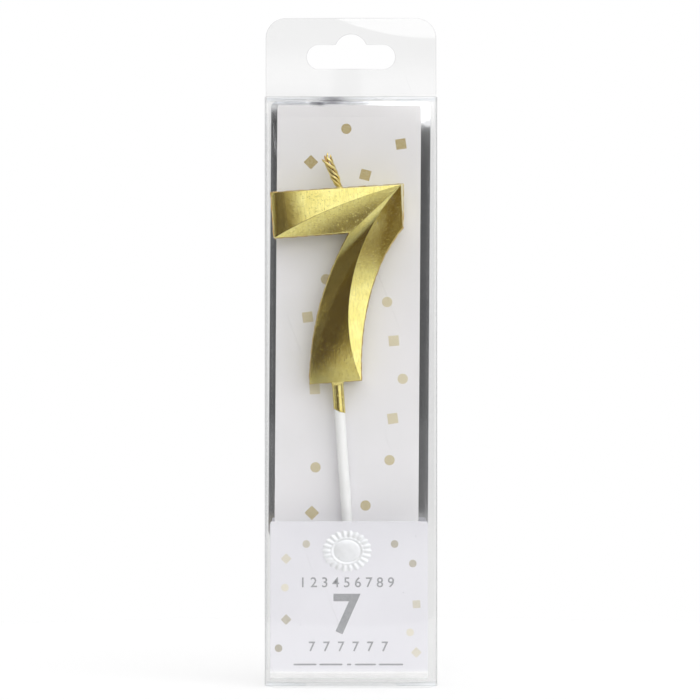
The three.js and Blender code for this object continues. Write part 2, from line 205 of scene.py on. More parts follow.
# %% Mesh objects
def make_piece(name, points, faces, material, slot, body="pack", stands_for=(), crease=35, marks=None):
    """One mesh object: points in millimetres, faces as lists of point numbers. Doubled points are merged, all
    faces turned outwards, and edges sharper than crease degrees stay sharp. marks is a value for each point,
    kept as an attribute that a material can read."""
    mesh = bpy.data.meshes.new(name)
    mesh.from_pydata((np.asarray(points) * MM).tolist(), [], faces)
    if marks is not None:
        layer = mesh.attributes.new("mark", "FLOAT", "POINT")
        layer.data.foreach_set("value", np.asarray(marks, np.float32))
    work = bmesh.new()
    work.from_mesh(mesh)
    bmesh.ops.remove_doubles(work, verts=work.verts, dist=1e-7)
    bmesh.ops.dissolve_degenerate(work, edges=work.edges, dist=1e-8)
    bmesh.ops.recalc_face_normals(work, faces=work.faces)
    work.to_mesh(mesh)
    work.free()
    mesh.shade_smooth()
    mesh.set_sharp_from_angle(angle=math.radians(crease))
    piece = bpy.data.objects.new(name, mesh)
    bpy.context.scene.collection.objects.link(piece)
    mesh.materials.append(material)
    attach(piece, body)
    if stands_for:
        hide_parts(*stands_for)
    open_edges = sum(1 for count in edge_uses(mesh) if count != 2)
    print(f"{name}: {len(mesh.polygons)} faces, {open_edges} open edges")
    return piece


def edge_uses(mesh):
    """How many faces use each edge of a mesh: two each means that it is closed."""
    corner_edges = np.zeros(len(mesh.loops), np.int32)
    mesh.loops.foreach_get("edge_index", corner_edges)
    return np.bincount(corner_edges, minlength=len(mesh.edges))


def make_sheet(name, surface, thickness, material, slot, rim=0.0, marks_at=None, closed_across=False, **rest):
    """A sheet as one mesh object, from its middle surface. rim is the mark along its cut edges, which the clear
    sheet's material turns into painted shade, and marks_at works out further marks from the points. The larger
    of the two counts."""
    points, faces = thick_sheet(surface, thickness, closed_across)
    marks = rim_shade_marks(points, surface, rim) if rim else None
    if marks_at:
        marks = marks_at(points) if marks is None else np.maximum(marks_at(points), marks)
    return make_piece(name, points, faces, material, slot, marks=marks, **rest)


def joined(parts):
    """Several lists of points and faces as one."""
    points, faces, start = [], [], 0
    for part_points, part_faces in parts:
        points.append(part_points)
        faces += [[number + start for number in face] for face in part_faces]
        start += len(part_points)
    return np.concatenate(points), faces


# %% [markdown]
# ## Making materials
# A material is a chain of small nodes, so a few short helpers keep the later cells readable. Anything that
# several finishes share, such as fine scratches or soft mottling, is a node group with named inputs and
# outputs. The groups read Object coordinates, which are metres on the real object, so a scale of 1000 makes
# features about a millimetre across.

# %% Helpers for nodes
def add_node(tree, kind, settings=None, **inputs):
    """One node. Settings are its own properties, and inputs are numbers, colours or other nodes' outputs, by
    socket name with underscores for blanks, or by place as _0, _1 and so on."""
    node = tree.nodes.new(kind)
    for key, value in (settings or {}).items():
        setattr(node, key, value)
    for key, value in inputs.items():
        socket = node.inputs[int(key[1:])] if key[1:].isdigit() else node.inputs[key.replace("_", " ")]
        if isinstance(value, bpy.types.NodeSocket):
            tree.links.new(value, socket)
        else:
            socket.default_value = value
    return node


def calculate(tree, operation, *values, clamp=False):
    """The result of one Math node."""
    inputs = {f"_{number}": value for number, value in enumerate(values)}
    return add_node(tree, "ShaderNodeMath", {"operation": operation, "use_clamp": clamp}, **inputs).outputs[0]


def plus_share(tree, base, mask, amount, clamp=False):
    """The base value, plus an amount where a mask is 1."""
    return calculate(tree, "ADD", base, calculate(tree, "MULTIPLY", mask, amount), clamp=clamp)


def smooth_step(tree, value, low, high, to_low=0.0, to_high=1.0):
    """Rises smoothly from to_low to to_high while value goes from low to high."""
    settings = {"interpolation_type": "SMOOTHSTEP"}
    return add_node(tree, "ShaderNodeMapRange", settings, Value=value, From_Min=low, From_Max=high,
                    To_Min=to_low, To_Max=to_high).outputs["Result"]


def blend_colours(tree, share, first, second, most=None):
    """First colour at share 0 and second at share 1. With most, the share is first multiplied by it."""
    if most is not None:
        share = calculate(tree, "MULTIPLY", share, most)
    node = add_node(tree, "ShaderNodeMix", {"data_type": "RGBA"})
    for socket, value in ((node.inputs[0], share), (node.inputs[6], first), (node.inputs[7], second)):
        if isinstance(value, bpy.types.NodeSocket):
            tree.links.new(value, socket)
        else:
            socket.default_value = value
    return node.outputs[2]


def new_material(name):
    """An empty node material and its output node."""
    material = bpy.data.materials.new(name)
    material.use_nodes = True
    material.node_tree.nodes.clear()
    return material, material.node_tree, material.node_tree.nodes.new("ShaderNodeOutputMaterial")


def new_group(name, inputs, outputs):
    """An empty node group with float inputs, given with their usual values, and float outputs."""
    tree = bpy.data.node_groups.new(name, "ShaderNodeTree")
    for label, value in inputs.items():
        tree.interface.new_socket(label, in_out="INPUT", socket_type="NodeSocketFloat").default_value = value
    for label in outputs:
        tree.interface.new_socket(label, in_out="OUTPUT", socket_type="NodeSocketFloat")
    return tree, tree.nodes.new("NodeGroupInput"), tree.nodes.new("NodeGroupOutput")


def use_group(tree, group, **values):
    """A group placed in a tree, with its own values."""
    node = tree.nodes.new("ShaderNodeGroup")
    node.node_tree = group
    for key, value in values.items():
        if isinstance(value, bpy.types.NodeSocket):
            tree.links.new(value, node.inputs[key.replace("_", " ")])
        else:
            node.inputs[key.replace("_", " ")].default_value = value
    return node.outputs


def place(tree):
    """Object coordinates, in metres on the real object."""
    return add_node(tree, "ShaderNodeTexCoord").outputs["Object"]


def grey(level):
    """An even grey for a colour socket."""
    return (level, level, level, 1)


def principled(tree, output, **inputs):
    """A Principled shader with these inputs, as the whole material."""
    body = add_node(tree, "ShaderNodeBsdfPrincipled", **inputs)
    tree.links.new(body.outputs[0], output.inputs[0])


def noise(tree, scale, detail, where=None):
    """Soft noise about 1 / scale metres across, read at the object's own place unless told otherwise."""
    where = place(tree) if where is None else where
    return add_node(tree, "ShaderNodeTexNoise", Vector=where, Scale=scale, Detail=detail).outputs[0]


def bump(tree, height, distance, strength=1.0):
    """A normal turned as if the surface rose by distance, in metres, where height is 1."""
    return add_node(tree, "ShaderNodeBump", Strength=strength, Distance=distance, Height=height).outputs[0]


def mark_value(tree):
    """The mark that the mesh carries at each point."""
    return add_node(tree, "ShaderNodeAttribute", {"attribute_name": "mark"}).outputs["Fac"]


def mix_shaders(tree, share, first, second):
    """First shader at share 0 and second at share 1."""
    return add_node(tree, "ShaderNodeMixShader", _0=share, _1=first.outputs[0], _2=second.outputs[0])


# %% [markdown]
# ### Shared effects
# Handling leaves fine scratches on film, foil and paint alike. A scratch is a noise drawn out very long one
# way and cut so that only its peaks stay. Mottling is a soft noise, and it keeps a printed or painted surface
# from looking like one flat colour. Specks are the dust and grains that stand proud of a surface, and come
# from the middles of a Voronoi pattern's cells.

# %% Scratches, mottling and specks
# Drawn out along z, the noise becomes long hairs. Only its peaks pass the cut, which lies lower the larger
# the share is.
DRAWN_OUT = (1, 1, 0.03)
HIGHEST_CUT, CUT_SOFTNESS = 0.72, 0.06

scratches, given, result = new_group("fine_scratches", {"Spacing": 900.0, "Turn": 0.0, "Share": 0.1}, ["Mask"])
spun = add_node(scratches, "ShaderNodeVectorRotate", {"rotation_type": "Y_AXIS"},
                Vector=place(scratches), Angle=given.outputs["Turn"]).outputs[0]
drawn = add_node(scratches, "ShaderNodeVectorMath", {"operation": "MULTIPLY"}, _0=spun, _1=DRAWN_OUT).outputs[0]
hairs = noise(scratches, given.outputs["Spacing"], 2.0, drawn)
cut = calculate(scratches, "SUBTRACT", HIGHEST_CUT, given.outputs["Share"])
over = calculate(scratches, "ADD", cut, CUT_SOFTNESS)
scratches.links.new(smooth_step(scratches, hairs, cut, over), result.inputs["Mask"])

mottle, given, result = new_group("soft_mottle", {"Spacing": 120.0, "Low": 0.0, "High": 1.0}, ["Value"])
cloud = noise(mottle, given.outputs["Spacing"], 3.0)
mottle.links.new(smooth_step(mottle, cloud, 0.3, 0.7, given.outputs["Low"], given.outputs["High"]),
                 result.inputs["Value"])

specks, given, result = new_group("specks", {"Spacing": 500.0, "Size": 0.1, "Share": 0.3}, ["Mask"])
cells = add_node(specks, "ShaderNodeTexVoronoi", Vector=place(specks), Scale=given.outputs["Spacing"])
near = smooth_step(specks, cells.outputs["Distance"], given.outputs["Size"],
                   calculate(specks, "MULTIPLY", given.outputs["Size"], 0.5))
chosen = add_node(specks, "ShaderNodeSeparateColor", Color=cells.outputs["Color"]).outputs[0]
kept = calculate(specks, "LESS_THAN", chosen, given.outputs["Share"])
specks.links.new(calculate(specks, "MULTIPLY", near, kept), result.inputs["Mask"])
print("shared effects:", [group.name for group in bpy.data.node_groups])

# %% [markdown]
# ## Light
# A pack like this is lit in a white studio: bright screens on both sides, a white background behind, and a
# darker room round the camera. The mirror card and the gold paint show that room, so the world is painted by
# direction: azimuth 0 looks from the object to the camera, and grows to the right of the picture. Each
# screen is a soft-edged patch of azimuth and elevation. Screens could also be area lamps, but a lamp close to
# the pack gives a different reflection at every spot, and these patches stay where they are for every view.
# Behind the object the room is as white as the background for every ray, so metal and clear sheet show the
# same white that the camera sees.

# %% A soft-edged patch of sky
patch, given, result = new_group("soft_patch", {
    "Azimuth": 0.0, "Elevation": 0.0, "Left": -10.0, "Right": 10.0, "Bottom": -10.0, "Top": 10.0,
    "Side Softness": 2.0, "End Softness": 2.0,
}, ["Mask"])


def ramp_up(tree, value, edge, soft):
    """Rises from 0 to 1 as value passes from half a soft width under edge to half over it."""
    half = calculate(tree, "MULTIPLY", soft, 0.5)
    return smooth_step(tree, value, calculate(tree, "SUBTRACT", edge, half), calculate(tree, "ADD", edge, half))


spans = []
for value, low, high, soft in (("Azimuth", "Left", "Right", "Side Softness"),
                               ("Elevation", "Bottom", "Top", "End Softness")):
    rising = ramp_up(patch, given.outputs[value], given.outputs[low], given.outputs[soft])
    falling = ramp_up(patch, given.outputs[value], given.outputs[high], given.outputs[soft])
    spans.append(calculate(patch, "MULTIPLY", rising, calculate(patch, "SUBTRACT", 1.0, falling)))
patch.links.new(calculate(patch, "MULTIPLY", *spans), result.inputs["Mask"])

# %% The studio, painted by direction
ROOM_LEVEL = 0.46
# The room starts where a direction's share towards the camera passes the first number, and is whole at the
# second.
BEHIND, BEFORE = -0.25, 0.15
# Each line is painted over the ones before it: left, right, bottom, top, softness at the sides and at the
# ends, all in degrees, then brightness and warmth.
STUDIO = [
    # The left screen, and the dark room between it and the camera.
    (-200, -48.6, 15, 95, 12, 10, 0.95, 0.0),
    (-46, -13, -17, 15, 11, 6, 0.10, 1.0),
    (-17, -1.2, -15, -0.9, 3.5, 1.6, 0.09, 1.0),
    # Low screens under the camera. The stem's foot shows the second, and the bar's lower facet the third.
    (-2.0, 8, -4.3, -2.8, 1.6, 0.3, 0.66, 0.0),
    (-3.0, 8, -13, -7.1, 4.0, 4.4, 0.78, 0.35),
    (-16, 6, -27, -15.5, 4, 2, 1.0, 0.0),
    # The bar's upper facet runs from a dim screen on the left to a bright one.
    (-18.5, -10, 1.3, 12, 4, 2.0, 0.82, 0.4),
    (-12.5, -4.6, 1.4, 16, 7, 2.0, 1.5, 0.0),
    # What the card shows over its print, with a brighter middle.
    (-13, 13, 3.56, 10.2, 2, 0.15, 1.5, 0.0),
    (-2.6, 2.6, 3.56, 4.6, 0.6, 0.15, 2.5, 0.0),
    # The right screen with the dark ground under it, which the stem's right facet shows, and a small light.
    (10.5, 60, -13.5, 12, 6, 14, 1.5, 0.0),
    (10.5, 70, -60, -14.5, 6, 11, 0.18, 1.0),
    (20, 26.5, -20.6, -17.4, 4, 2.4, 0.50, 0.4),
    # Dark ground in front of the pack, and bright screens overhead.
    (-9, 10.5, -60, -22.7, 6, 2.6, 0.25, 0.7),
    (-4, 75, 10.2, 24, 4, 0.4, 3.0, 0.0),
    (-30, 75, 26, 78, 8, 8, 2.0, 0.0),
    # The dark round the camera itself, which the card's silver strips show.
    (-3.6, 3.6, -2.53, 3.53, 0.6, 0.12, 0.12, 0.0),
    (-3.6, 3.6, -2.5, -1.1, 0.6, 0.5, 0.18, 0.0),
    (-3.6, 0.3, 3.3, 3.88, 0.6, 0.4, 0.08, 0.0),
]
# Full warmth tints the light this much. Warmth is squared, so half of it gives only a quarter of the tint.
WARM_DARK = (1.0, 0.66, 0.04, 1)
world = bpy.data.worlds.new("studio")
bpy.context.scene.world = world
world.use_nodes = True
sky = world.node_tree
sky.nodes.clear()
direction = add_node(sky, "ShaderNodeTexCoord").outputs["Generated"]
look = add_node(sky, "ShaderNodeSeparateXYZ", _0=direction).outputs
towards = calculate(sky, "MULTIPLY", look[1], -1.0)
azimuth = calculate(sky, "DEGREES", calculate(sky, "ARCTAN2", look[0], towards))
elevation = calculate(sky, "DEGREES", calculate(sky, "ARCSINE", look[2]))
front = smooth_step(sky, towards, BEHIND, BEFORE)
level = plus_share(sky, 1.0, front, ROOM_LEVEL - 1.0)
warmth = 0.0
for left, right, bottom, top, side_soft, end_soft, brightness, warm in STUDIO:
    mask = use_group(sky, patch, Azimuth=azimuth, Elevation=elevation, Left=left, Right=right, Bottom=bottom,
                     Top=top, Side_Softness=side_soft, End_Softness=end_soft)["Mask"]
    level = plus_share(sky, level, mask, calculate(sky, "SUBTRACT", brightness, level))
    warmth = plus_share(sky, warmth, mask, calculate(sky, "SUBTRACT", warm, warmth))
tone = blend_colours(sky, calculate(sky, "MULTIPLY", warmth, warmth), grey(1.0), WARM_DARK)
to_camera = add_node(sky, "ShaderNodeLightPath").outputs["Is Camera Ray"]
room = add_node(sky, "ShaderNodeBackground", Color=tone, Strength=level)
white = add_node(sky, "ShaderNodeBackground", Color=grey(1.0), Strength=1.0)
add_node(sky, "ShaderNodeOutputWorld", Surface=mix_shaders(sky, to_camera, room, white).outputs[0])
print("studio patches:", len(STUDIO))

# %% [markdown]
# ## Floor
# The background of the picture is pure white. The floor is a plain white sheet. To the camera, and in metal
# and clear plastic, a little over half of it is an even white glow, so it meets the white background without
# an edge, and the rest still takes the soft shadow under the box. Light that bounces off it knows only the
# paper.

# %% White floor that keeps the shadow
GLOW_SHARE = 0.55
floor_white, tree, output = new_material("floor_white")
paper = add_node(tree, "ShaderNodeBsdfDiffuse", Color=grey(0.88))
glow = add_node(tree, "ShaderNodeEmission", Color=grey(1.0), Strength=1.0)
lit = mix_shaders(tree, GLOW_SHARE, paper, glow)
ray = add_node(tree, "ShaderNodeLightPath").outputs
direct = calculate(tree, "MAXIMUM", calculate(tree, "MAXIMUM", ray["Is Camera Ray"], ray["Is Glossy Ray"]),
                   ray["Is Transmission Ray"])
tree.links.new(mix_shaders(tree, direct, paper, lit).outputs[0], output.inputs[0])

FLOOR_RADIUS, FLOOR_SIDES = 280.0, 96
angle = round_angles(FLOOR_SIDES)
rim = np.column_stack([np.cos(angle), np.sin(angle), np.zeros(FLOOR_SIDES)]) * FLOOR_RADIUS
floor_mesh = bpy.data.meshes.new("floor")
floor_mesh.from_pydata((rim * MM).tolist(), [], [list(range(FLOOR_SIDES))])
floor_mesh.materials.append(floor_white)
floor = bpy.data.objects.new("floor", floor_mesh)
bpy.context.scene.collection.objects.link(floor)

# %% [markdown]
# ## Clear sheet
# The box is thin clear plastic. Glass with refraction would be the obvious choice, but a sheet this thin
# bends nothing that can be seen, and it slows the render. So each skin lets light straight through, a little
# greyer where it is seen edge-on, and mirrors the room by Fresnel. Fresnel reads a lower index on the way
# out, which would give a false mirror, so its index is turned over there. Scratches, dust and a faint haze
# show as a thin share of dull white. Shadow rays and diffuse rays only find a faint even tint, because what a
# thin clear sheet mirrors away from one spot it adds to another.

# %% Clear sheet material
PLASTIC_INDEX = 1.5


def clear_material(name, clear, haze, wave=0.0, edge=0.75, shine=1.0):
    """Clear plastic sheet: clear is the share of light that one skin lets through, edge that share seen
    edge-on, haze the share that dull white takes, wave the height in metres of the gentle waves in it, and
    shine the share kept of what a flawless sheet would mirror. The attribute mark paints shade into the tint,
    along a cut edge and in a pinched crease."""
    material, tree, output = new_material(name)
    back = add_node(tree, "ShaderNodeNewGeometry").outputs["Backfacing"]
    index = add_node(tree, "ShaderNodeMapRange", Value=back, To_Min=PLASTIC_INDEX,
                     To_Max=1 / PLASTIC_INDEX).outputs["Result"]
    normal = bump(tree, noise(tree, 22.0, 0.0), wave)
    mirror = add_node(tree, "ShaderNodeFresnel", IOR=index, Normal=normal).outputs[0]
    mirror = calculate(tree, "MULTIPLY", mirror, shine)
    edge_on = add_node(tree, "ShaderNodeLayerWeight", Blend=0.5).outputs["Facing"]
    depth = smooth_step(tree, edge_on, 0.55, 1.0)
    tint = blend_colours(tree, depth, grey(clear), (edge, edge + 0.01, edge + 0.02, 1))
    # Painted shade: by the mark, the tint darkens towards this grey along cut edges and in pinched creases.
    tint = blend_colours(tree, mark_value(tree), tint, (0.30, 0.30, 0.33, 1))
    through = add_node(tree, "ShaderNodeBsdfTransparent", Color=tint)
    gloss = add_node(tree, "ShaderNodeBsdfGlossy", Color=grey(1.0), Roughness=0.04, Normal=normal)
    pane = mix_shaders(tree, mirror, through, gloss)
    hairlines = use_group(tree, scratches, Spacing=700.0, Turn=0.35, Share=0.02)["Mask"]
    dust = use_group(tree, specks, Spacing=260.0, Size=0.06, Share=0.12)["Mask"]
    cloud = use_group(tree, mottle, Spacing=60.0, Low=0.4, High=1.6)["Value"]
    dull = calculate(tree, "MULTIPLY", cloud, haze)
    dull = plus_share(tree, dull, hairlines, 0.03)
    dull = plus_share(tree, dull, dust, 0.25, clamp=True)
    veil = add_node(tree, "ShaderNodeBsdfDiffuse", Color=grey(0.85))
    whole = mix_shaders(tree, dull, pane, veil)
    ray = add_node(tree, "ShaderNodeLightPath").outputs
    unseen = calculate(tree, "MAXIMUM", ray["Is Shadow Ray"], ray["Is Diffuse Ray"])
    faint = add_node(tree, "ShaderNodeBsdfTransparent", Color=grey(clear))
    tree.links.new(mix_shaders(tree, unseen, whole, faint).outputs[0], output.inputs[0])
    return material


# A look through the box's corner crosses a dozen skins, more than Cycles follows unless it is told to.
bpy.context.scene.cycles.transparent_max_bounces = 32

clear_window = clear_material("clear_window", clear=0.985, haze=0.003, wave=0.00003)
clear_back = clear_material("clear_back", clear=0.915, haze=0.010)
clear_flap = clear_material("clear_flap", clear=0.997, haze=0.004, wave=0.00005, edge=0.98, shine=0.12)

# %% [markdown]
# ## Box walls
# The real box is one creased blank. Its front and two side panels are made here as one sheet, by carrying a
# U-shaped line round the corners up the height of the box, so that each fold is a small round bend that
# catches the light as the real crease does. The front bows in by a fraction of a millimetre, and the lower
# corners lift a little where the folds pull them in.

# %% Front and sides in one sheet
SHEET = 0.3
# Two skins in one place show as a broken pattern, so touching sheets keep this gap in millimetres.
GAP = 0.03
# What a sheet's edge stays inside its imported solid.
INSIDE = 0.1
CREASE_RADIUS, REAR_INSIDE = 0.7, 0.12
BOW, CORNER_LIFT, LIFT_REACH, SIDE_LIFT, SIDE_DROP = 0.22, 0.7, 1.2, 0.4, 0.35
front_low, front_high = node_box("front_window")
side_high = node_box("left_side_panel")[1]


def box_sleeve():
    """A line round three walls, carried up z. Inward bow = BOW sin(pi z / height) cos(pi x / width). The
    lower edge lifts by CORNER_LIFT exp(-(distance to the corner / LIFT_REACH) squared)."""
    inset = SHEET / 2
    left, right = front_low[0] + inset, front_high[0] - inset
    near, far = front_low[1] + inset, side_high[1] - REAR_INSIDE
    line = rounded_line([(left, far), (left, near), (right, near), (right, far)], [CREASE_RADIUS] * 2)
    line = filled(line, 1.5)
    height = front_high[2] - front_low[2]
    share = np.concatenate([np.linspace(0, 0.02, 7)[:-1], np.linspace(0.02, 0.98, 41),
                            np.linspace(0.98, 1, 7)[1:]])
    x, share = np.meshgrid(line[:, 0], share)
    y = np.broadcast_to(line[:, 1], x.shape)
    on_front = np.clip((far - y) / (far - near) * 1.02 - 0.02, 0, 1) ** 12
    corner = np.abs(x) - (right - CREASE_RADIUS)
    lift = CORNER_LIFT * np.exp(-(np.minimum(corner, 0) / LIFT_REACH) ** 2) * on_front
    lift = lift + SIDE_LIFT * (1 - on_front)
    low, high = front_low[2] + INSIDE + lift, front_high[2] - INSIDE - SIDE_DROP * (1 - on_front)
    z = low + (high - low) * share
    bow = BOW * np.sin(np.pi * z / height) * np.cos(np.pi * x / (right - left + 1)) * on_front
    return np.stack([x, y + bow, z], -1)


make_sheet("clear_sleeve", box_sleeve(), SHEET, clear_window, "clear_sheet", rim=0.5,
           stands_for=("front_window", "left_side_panel", "right_side_panel"))

# %% [markdown]
# The hang tab runs up from the back panel. Its outline and its slot are both seen from the slot's middle as
# a distance for each direction, so a ring of points can run from one to the other: the distance at share v
# is the slot's distance plus v times the gap between the two. The upper right of the tab leans back
# a little, as a tab that has hung on a hook does, and that part mirrors the bright screen above the camera.

# %% Hang tab with its slot
back_low, back_high = node_box("back_panel_with_hang_tab")
TAB_CORNER, TAB_FOOT_CORNER = 6.1, 0.15
SLOT_HALF, SLOT_END, SLOT_DROP = 13.6, 3.75, 11.9
HUMP_RADIUS, HUMP_RISE = 5.068, 1.982
SLOT_FILLET = 0.5
TAB_FOOT = front_high[2]
slot_middle = np.array([0.0, back_high[2] - SLOT_DROP])


def slot_reach(angle):
    """Distance from the slot's middle to its edge: the farther of a round-ended slot and a circle above it,
    blended where they are within SLOT_FILLET of each other."""
    across, up = np.cos(angle), np.sin(angle)
    straight = SLOT_HALF - SLOT_END
    flat = SLOT_END / np.maximum(np.abs(up), 1e-9)
    under_root = np.maximum(SLOT_END ** 2 - (straight * up) ** 2, 0)
    round_end = straight * np.abs(across) + np.sqrt(under_root)
    stadium = np.where(flat * np.abs(across) <= straight, flat, round_end)
    hump = HUMP_RISE * up + np.sqrt(HUMP_RADIUS ** 2 - (HUMP_RISE * across) ** 2)
    near = np.clip(0.5 + (stadium - hump) / (2 * SLOT_FILLET), 0, 1)
    return hump * (1 - near) + stadium * near + SLOT_FILLET * near * (1 - near)


def outline_reach(loop, middle, angle):
    """Distance from middle to a closed outline for each direction, read along a finely filled outline."""
    offset = filled(loop, 0.05) - middle
    bearing = np.arctan2(offset[:, 1], offset[:, 0])
    order = np.argsort(bearing)
    return np.interp(angle, bearing[order], np.linalg.norm(offset, axis=1)[order], period=2 * np.pi)


def tab_loop():
    """The tab's outline: a rectangle with two round upper corners, and two nearly square lower ones."""
    left, right = back_low[0] + INSIDE, back_high[0] - INSIDE
    low, high = TAB_FOOT, back_high[2] - INSIDE
    corners = [(0, low), (right, low), (right, high), (left, high), (left, low), (0, low)]
    return rounded_line(corners, [TAB_FOOT_CORNER, TAB_CORNER, TAB_CORNER, TAB_FOOT_CORNER], arc_steps=24)


def tab_bend(x, z):
    """How far the tab stands forward. Over a line that curves down to the right, from 203 mm high on the left
    to 196.6 mm at the right edge, the tab leans back ever more steeply: lean = 0.045 + 0.01 times the
    distance over the line, and it fades out under the line. The sum of the leans from the top is the bend."""
    line = 196.6 + 6.3 * np.clip((26.4 - x) / 30.7, 0, 2) ** 2.2
    over = np.linspace(0, 1, 24)[:, None, None] * (back_high[2] - z)[None] + z[None] - line[None]
    lean = np.clip(0.045 + 0.01 * over, 0, 0.075) * np.clip((over + 9) / 9, 0, 1)
    return lean.mean(0) * (back_high[2] - z)


def hang_tab():
    """Rings from the slot's edge to the outline: distance = the slot's, plus the share times the gap. The
    directions include the outline's own points, so its corners are kept."""
    loop = tab_loop()
    corner_bearings = np.arctan2(*(loop - slot_middle).T[::-1])
    angle = np.union1d(np.linspace(-np.pi, np.pi, 241)[:-1], corner_bearings)
    angle = angle[np.concatenate([[True], np.diff(angle) > 1e-3])]
    share = np.array([0, 0.03, 0.1, 0.2, 0.3, 0.4, 0.5, 0.6, 0.7, 0.8, 0.88, 0.95, 1.0])[:, None]
    inner, outer = slot_reach(angle), outline_reach(loop, slot_middle, angle)
    reach = inner + share * (outer - inner)
    x, z = slot_middle[0] + reach * np.cos(angle), slot_middle[1] + reach * np.sin(angle)
    return np.stack([x, back_high[1] - SHEET / 2 - tab_bend(x, z), z], -1)


make_sheet("hang_tab", hang_tab(), SHEET, clear_back, "clear_sheet", rim=0.5, closed_across=True)

# %% [markdown]
# Below the tab the back panel is a plain sheet, hidden by the card except for a narrow strip on each side.

# %% Back panel and glue flap
GLUE_END_SLOPE = 3.0
flap_low, flap_high = node_box("glue_flap")


def back_panel():
    """An upright grid of points on the back panel's plane, up to the tab's foot."""
    x, z = np.meshgrid(np.linspace(back_low[0] + INSIDE, back_high[0] - INSIDE, 27),
                       np.linspace(INSIDE, TAB_FOOT, 61))
    return np.stack([x, np.full_like(x, back_high[1] - (SHEET - GAP) / 2), z], -1)


def glue_flap():
    """A strip inside the left wall; its ends slope, so its height shrinks towards its front edge."""
    y, share = np.meshgrid(np.linspace(flap_low[1] + INSIDE, flap_high[1] - INSIDE, 9), np.linspace(0, 1, 41))
    slope = GLUE_END_SLOPE * (flap_high[1] - y) / (flap_high[1] - flap_low[1]) + INSIDE
    z = (flap_low[2] + slope) + (flap_high[2] - flap_low[2] - 2 * slope) * share
    return np.stack([np.full_like(y, (flap_low[0] + flap_high[0] + GAP) / 2), y, z], -1)


make_sheet("back_panel", back_panel(), SHEET - GAP, clear_back, "clear_sheet", rim=0.5,
           stands_for=("back_panel_with_hang_tab",))
make_sheet("glue_flap_sheet", glue_flap(), SHEET - GAP, clear_flap, "clear_sheet", rim=0.12,
           stands_for=("glue_flap",))

# %% [markdown]
# ## Tuck ends
# Each end of the box has a lid whose front edge bends into a tuck tongue, and two dust flaps under it. Lid
# and tongue are one sheet on the real box, so here one bent line is carried across the width, narrowing along
# the tongue. The bottom end is the top end turned half round, which swaps the hinge to the back panel.

# %% Lid with its tuck tongue
lid_high = node_box("top_lid")[1]
tongue_low, tongue_high = node_box("top_tuck_tongue")
hinge_y = front_high[1]
HINGE_GAP, BEND_RADIUS, TIP_INSIDE = 0.2, 0.55, 0.12
TONGUE_LENGTH, TONGUE_TAPER, TIP_CORNER = 4.7, 3.0, 1.6
# A flap's points are evenly spaced over its straight part, and crowd towards its tip.
FLAP_STRAIGHT, FLAP_REACH, FLAP_SLOPE, FLAP_CORNER = 8.5, 11.8, 0.5, 2.5


def lid_line():
    """The lid's section about its hinge, as distance from the hinge and height above it: along the lid, round
    the bend, and down the leaning tongue."""
    middle = SHEET / 2
    tip_depth = tongue_low[2] - lid_high[2] + TIP_INSIDE
    lean = math.asin((tongue_high[1] - tongue_low[1] - SHEET) / -tip_depth)
    far = lid_high[1] - hinge_y - middle
    corners = [(HINGE_GAP, -middle), (far, -middle), (far - math.tan(lean) * (-tip_depth - middle), tip_depth)]
    return filled(rounded_line(corners, [BEND_RADIUS]), 0.7)


def tuck_sheet():
    """The lid's section carried across the width. Half width = the lid's, less TONGUE_TAPER along the tongue,
    with the tip's corners rounded by a further quarter circle. Left of its middle the tongue is crumpled by
    a small wave."""
    line = lid_line()
    drop = np.clip((-line[:, 1] - 0.5) / TONGUE_LENGTH, 0, 1)
    tip = np.clip((drop - 0.62) / 0.38, 0, 1)
    half = lid_high[0] - INSIDE - TONGUE_TAPER * drop - TIP_CORNER * (1 - np.sqrt(1 - tip ** 2))
    across = np.sin(np.linspace(-1, 1, 41) * np.pi / 2)
    x = half[:, None] * across[None]
    away, up = [np.broadcast_to(line[:, k, None], x.shape) for k in (0, 1)]
    crumple = 0.12 * np.sin(x / 3.1) * np.exp(-((x + 6) / 9) ** 2) * drop[:, None]
    return np.stack([x, away + crumple, up], -1)


def pinch_shade_marks(points):
    """Painted shade where the sheet was pinched: a lens along the bend, widest at its left end, and a short
    slanted fold below it."""
    x, _, z = points.T
    below = front_high[2] - z
    lens = np.exp(-((x + 5.6) / 3.6) ** 2) * np.exp(-((below - 0.32) / 0.2) ** 2)
    fold = np.exp(-((x + 10.2 - 1.8 * (below - 1.0)) / 1.1) ** 2) * np.exp(-((below - 1.15) / 0.45) ** 2)
    return np.clip(0.8 * lens + 0.8 * fold, 0, 1)


def dust_flap(side):
    """A flap from one side wall: its front edge slopes back, its rear edge is straight, and the tip's rear
    corner is a quarter circle of FLAP_CORNER."""
    low, high = node_box("top_dust_flap_right")
    towards_tip = np.sin(np.linspace(0.1, 1, 8) * np.pi / 2)
    reach = np.concatenate([np.linspace(0, FLAP_STRAIGHT, 10),
                            FLAP_STRAIGHT + (FLAP_REACH - FLAP_STRAIGHT) * towards_tip])
    near = (low[1] - hinge_y) + INSIDE + FLAP_SLOPE * reach
    into_corner = np.clip(reach - (FLAP_REACH - FLAP_CORNER), 0, FLAP_CORNER)
    rounding = FLAP_CORNER - np.sqrt(np.maximum(FLAP_CORNER ** 2 - into_corner ** 2, 0))
    far = (high[1] - hinge_y) - INSIDE - rounding
    share = np.linspace(0, 1, 13)
    away = near[:, None] + (far - near)[:, None] * share[None]
    x = np.broadcast_to((side * (high[0] - INSIDE - reach))[:, None], away.shape)
    up = np.full_like(away, (low[2] + high[2]) / 2 - front_high[2])
    return np.stack([x, away, up], -1)


def at_top(surface):
    """Puts a tuck piece on the top fold, which runs along the front wall's upper edge."""
    return surface + [0, hinge_y, front_high[2]]


def at_bottom(surface):
    """Turns a tuck piece half round about x and puts it on the back panel's lower edge."""
    return surface * [1, -1, -1] + [0, -hinge_y, 0]


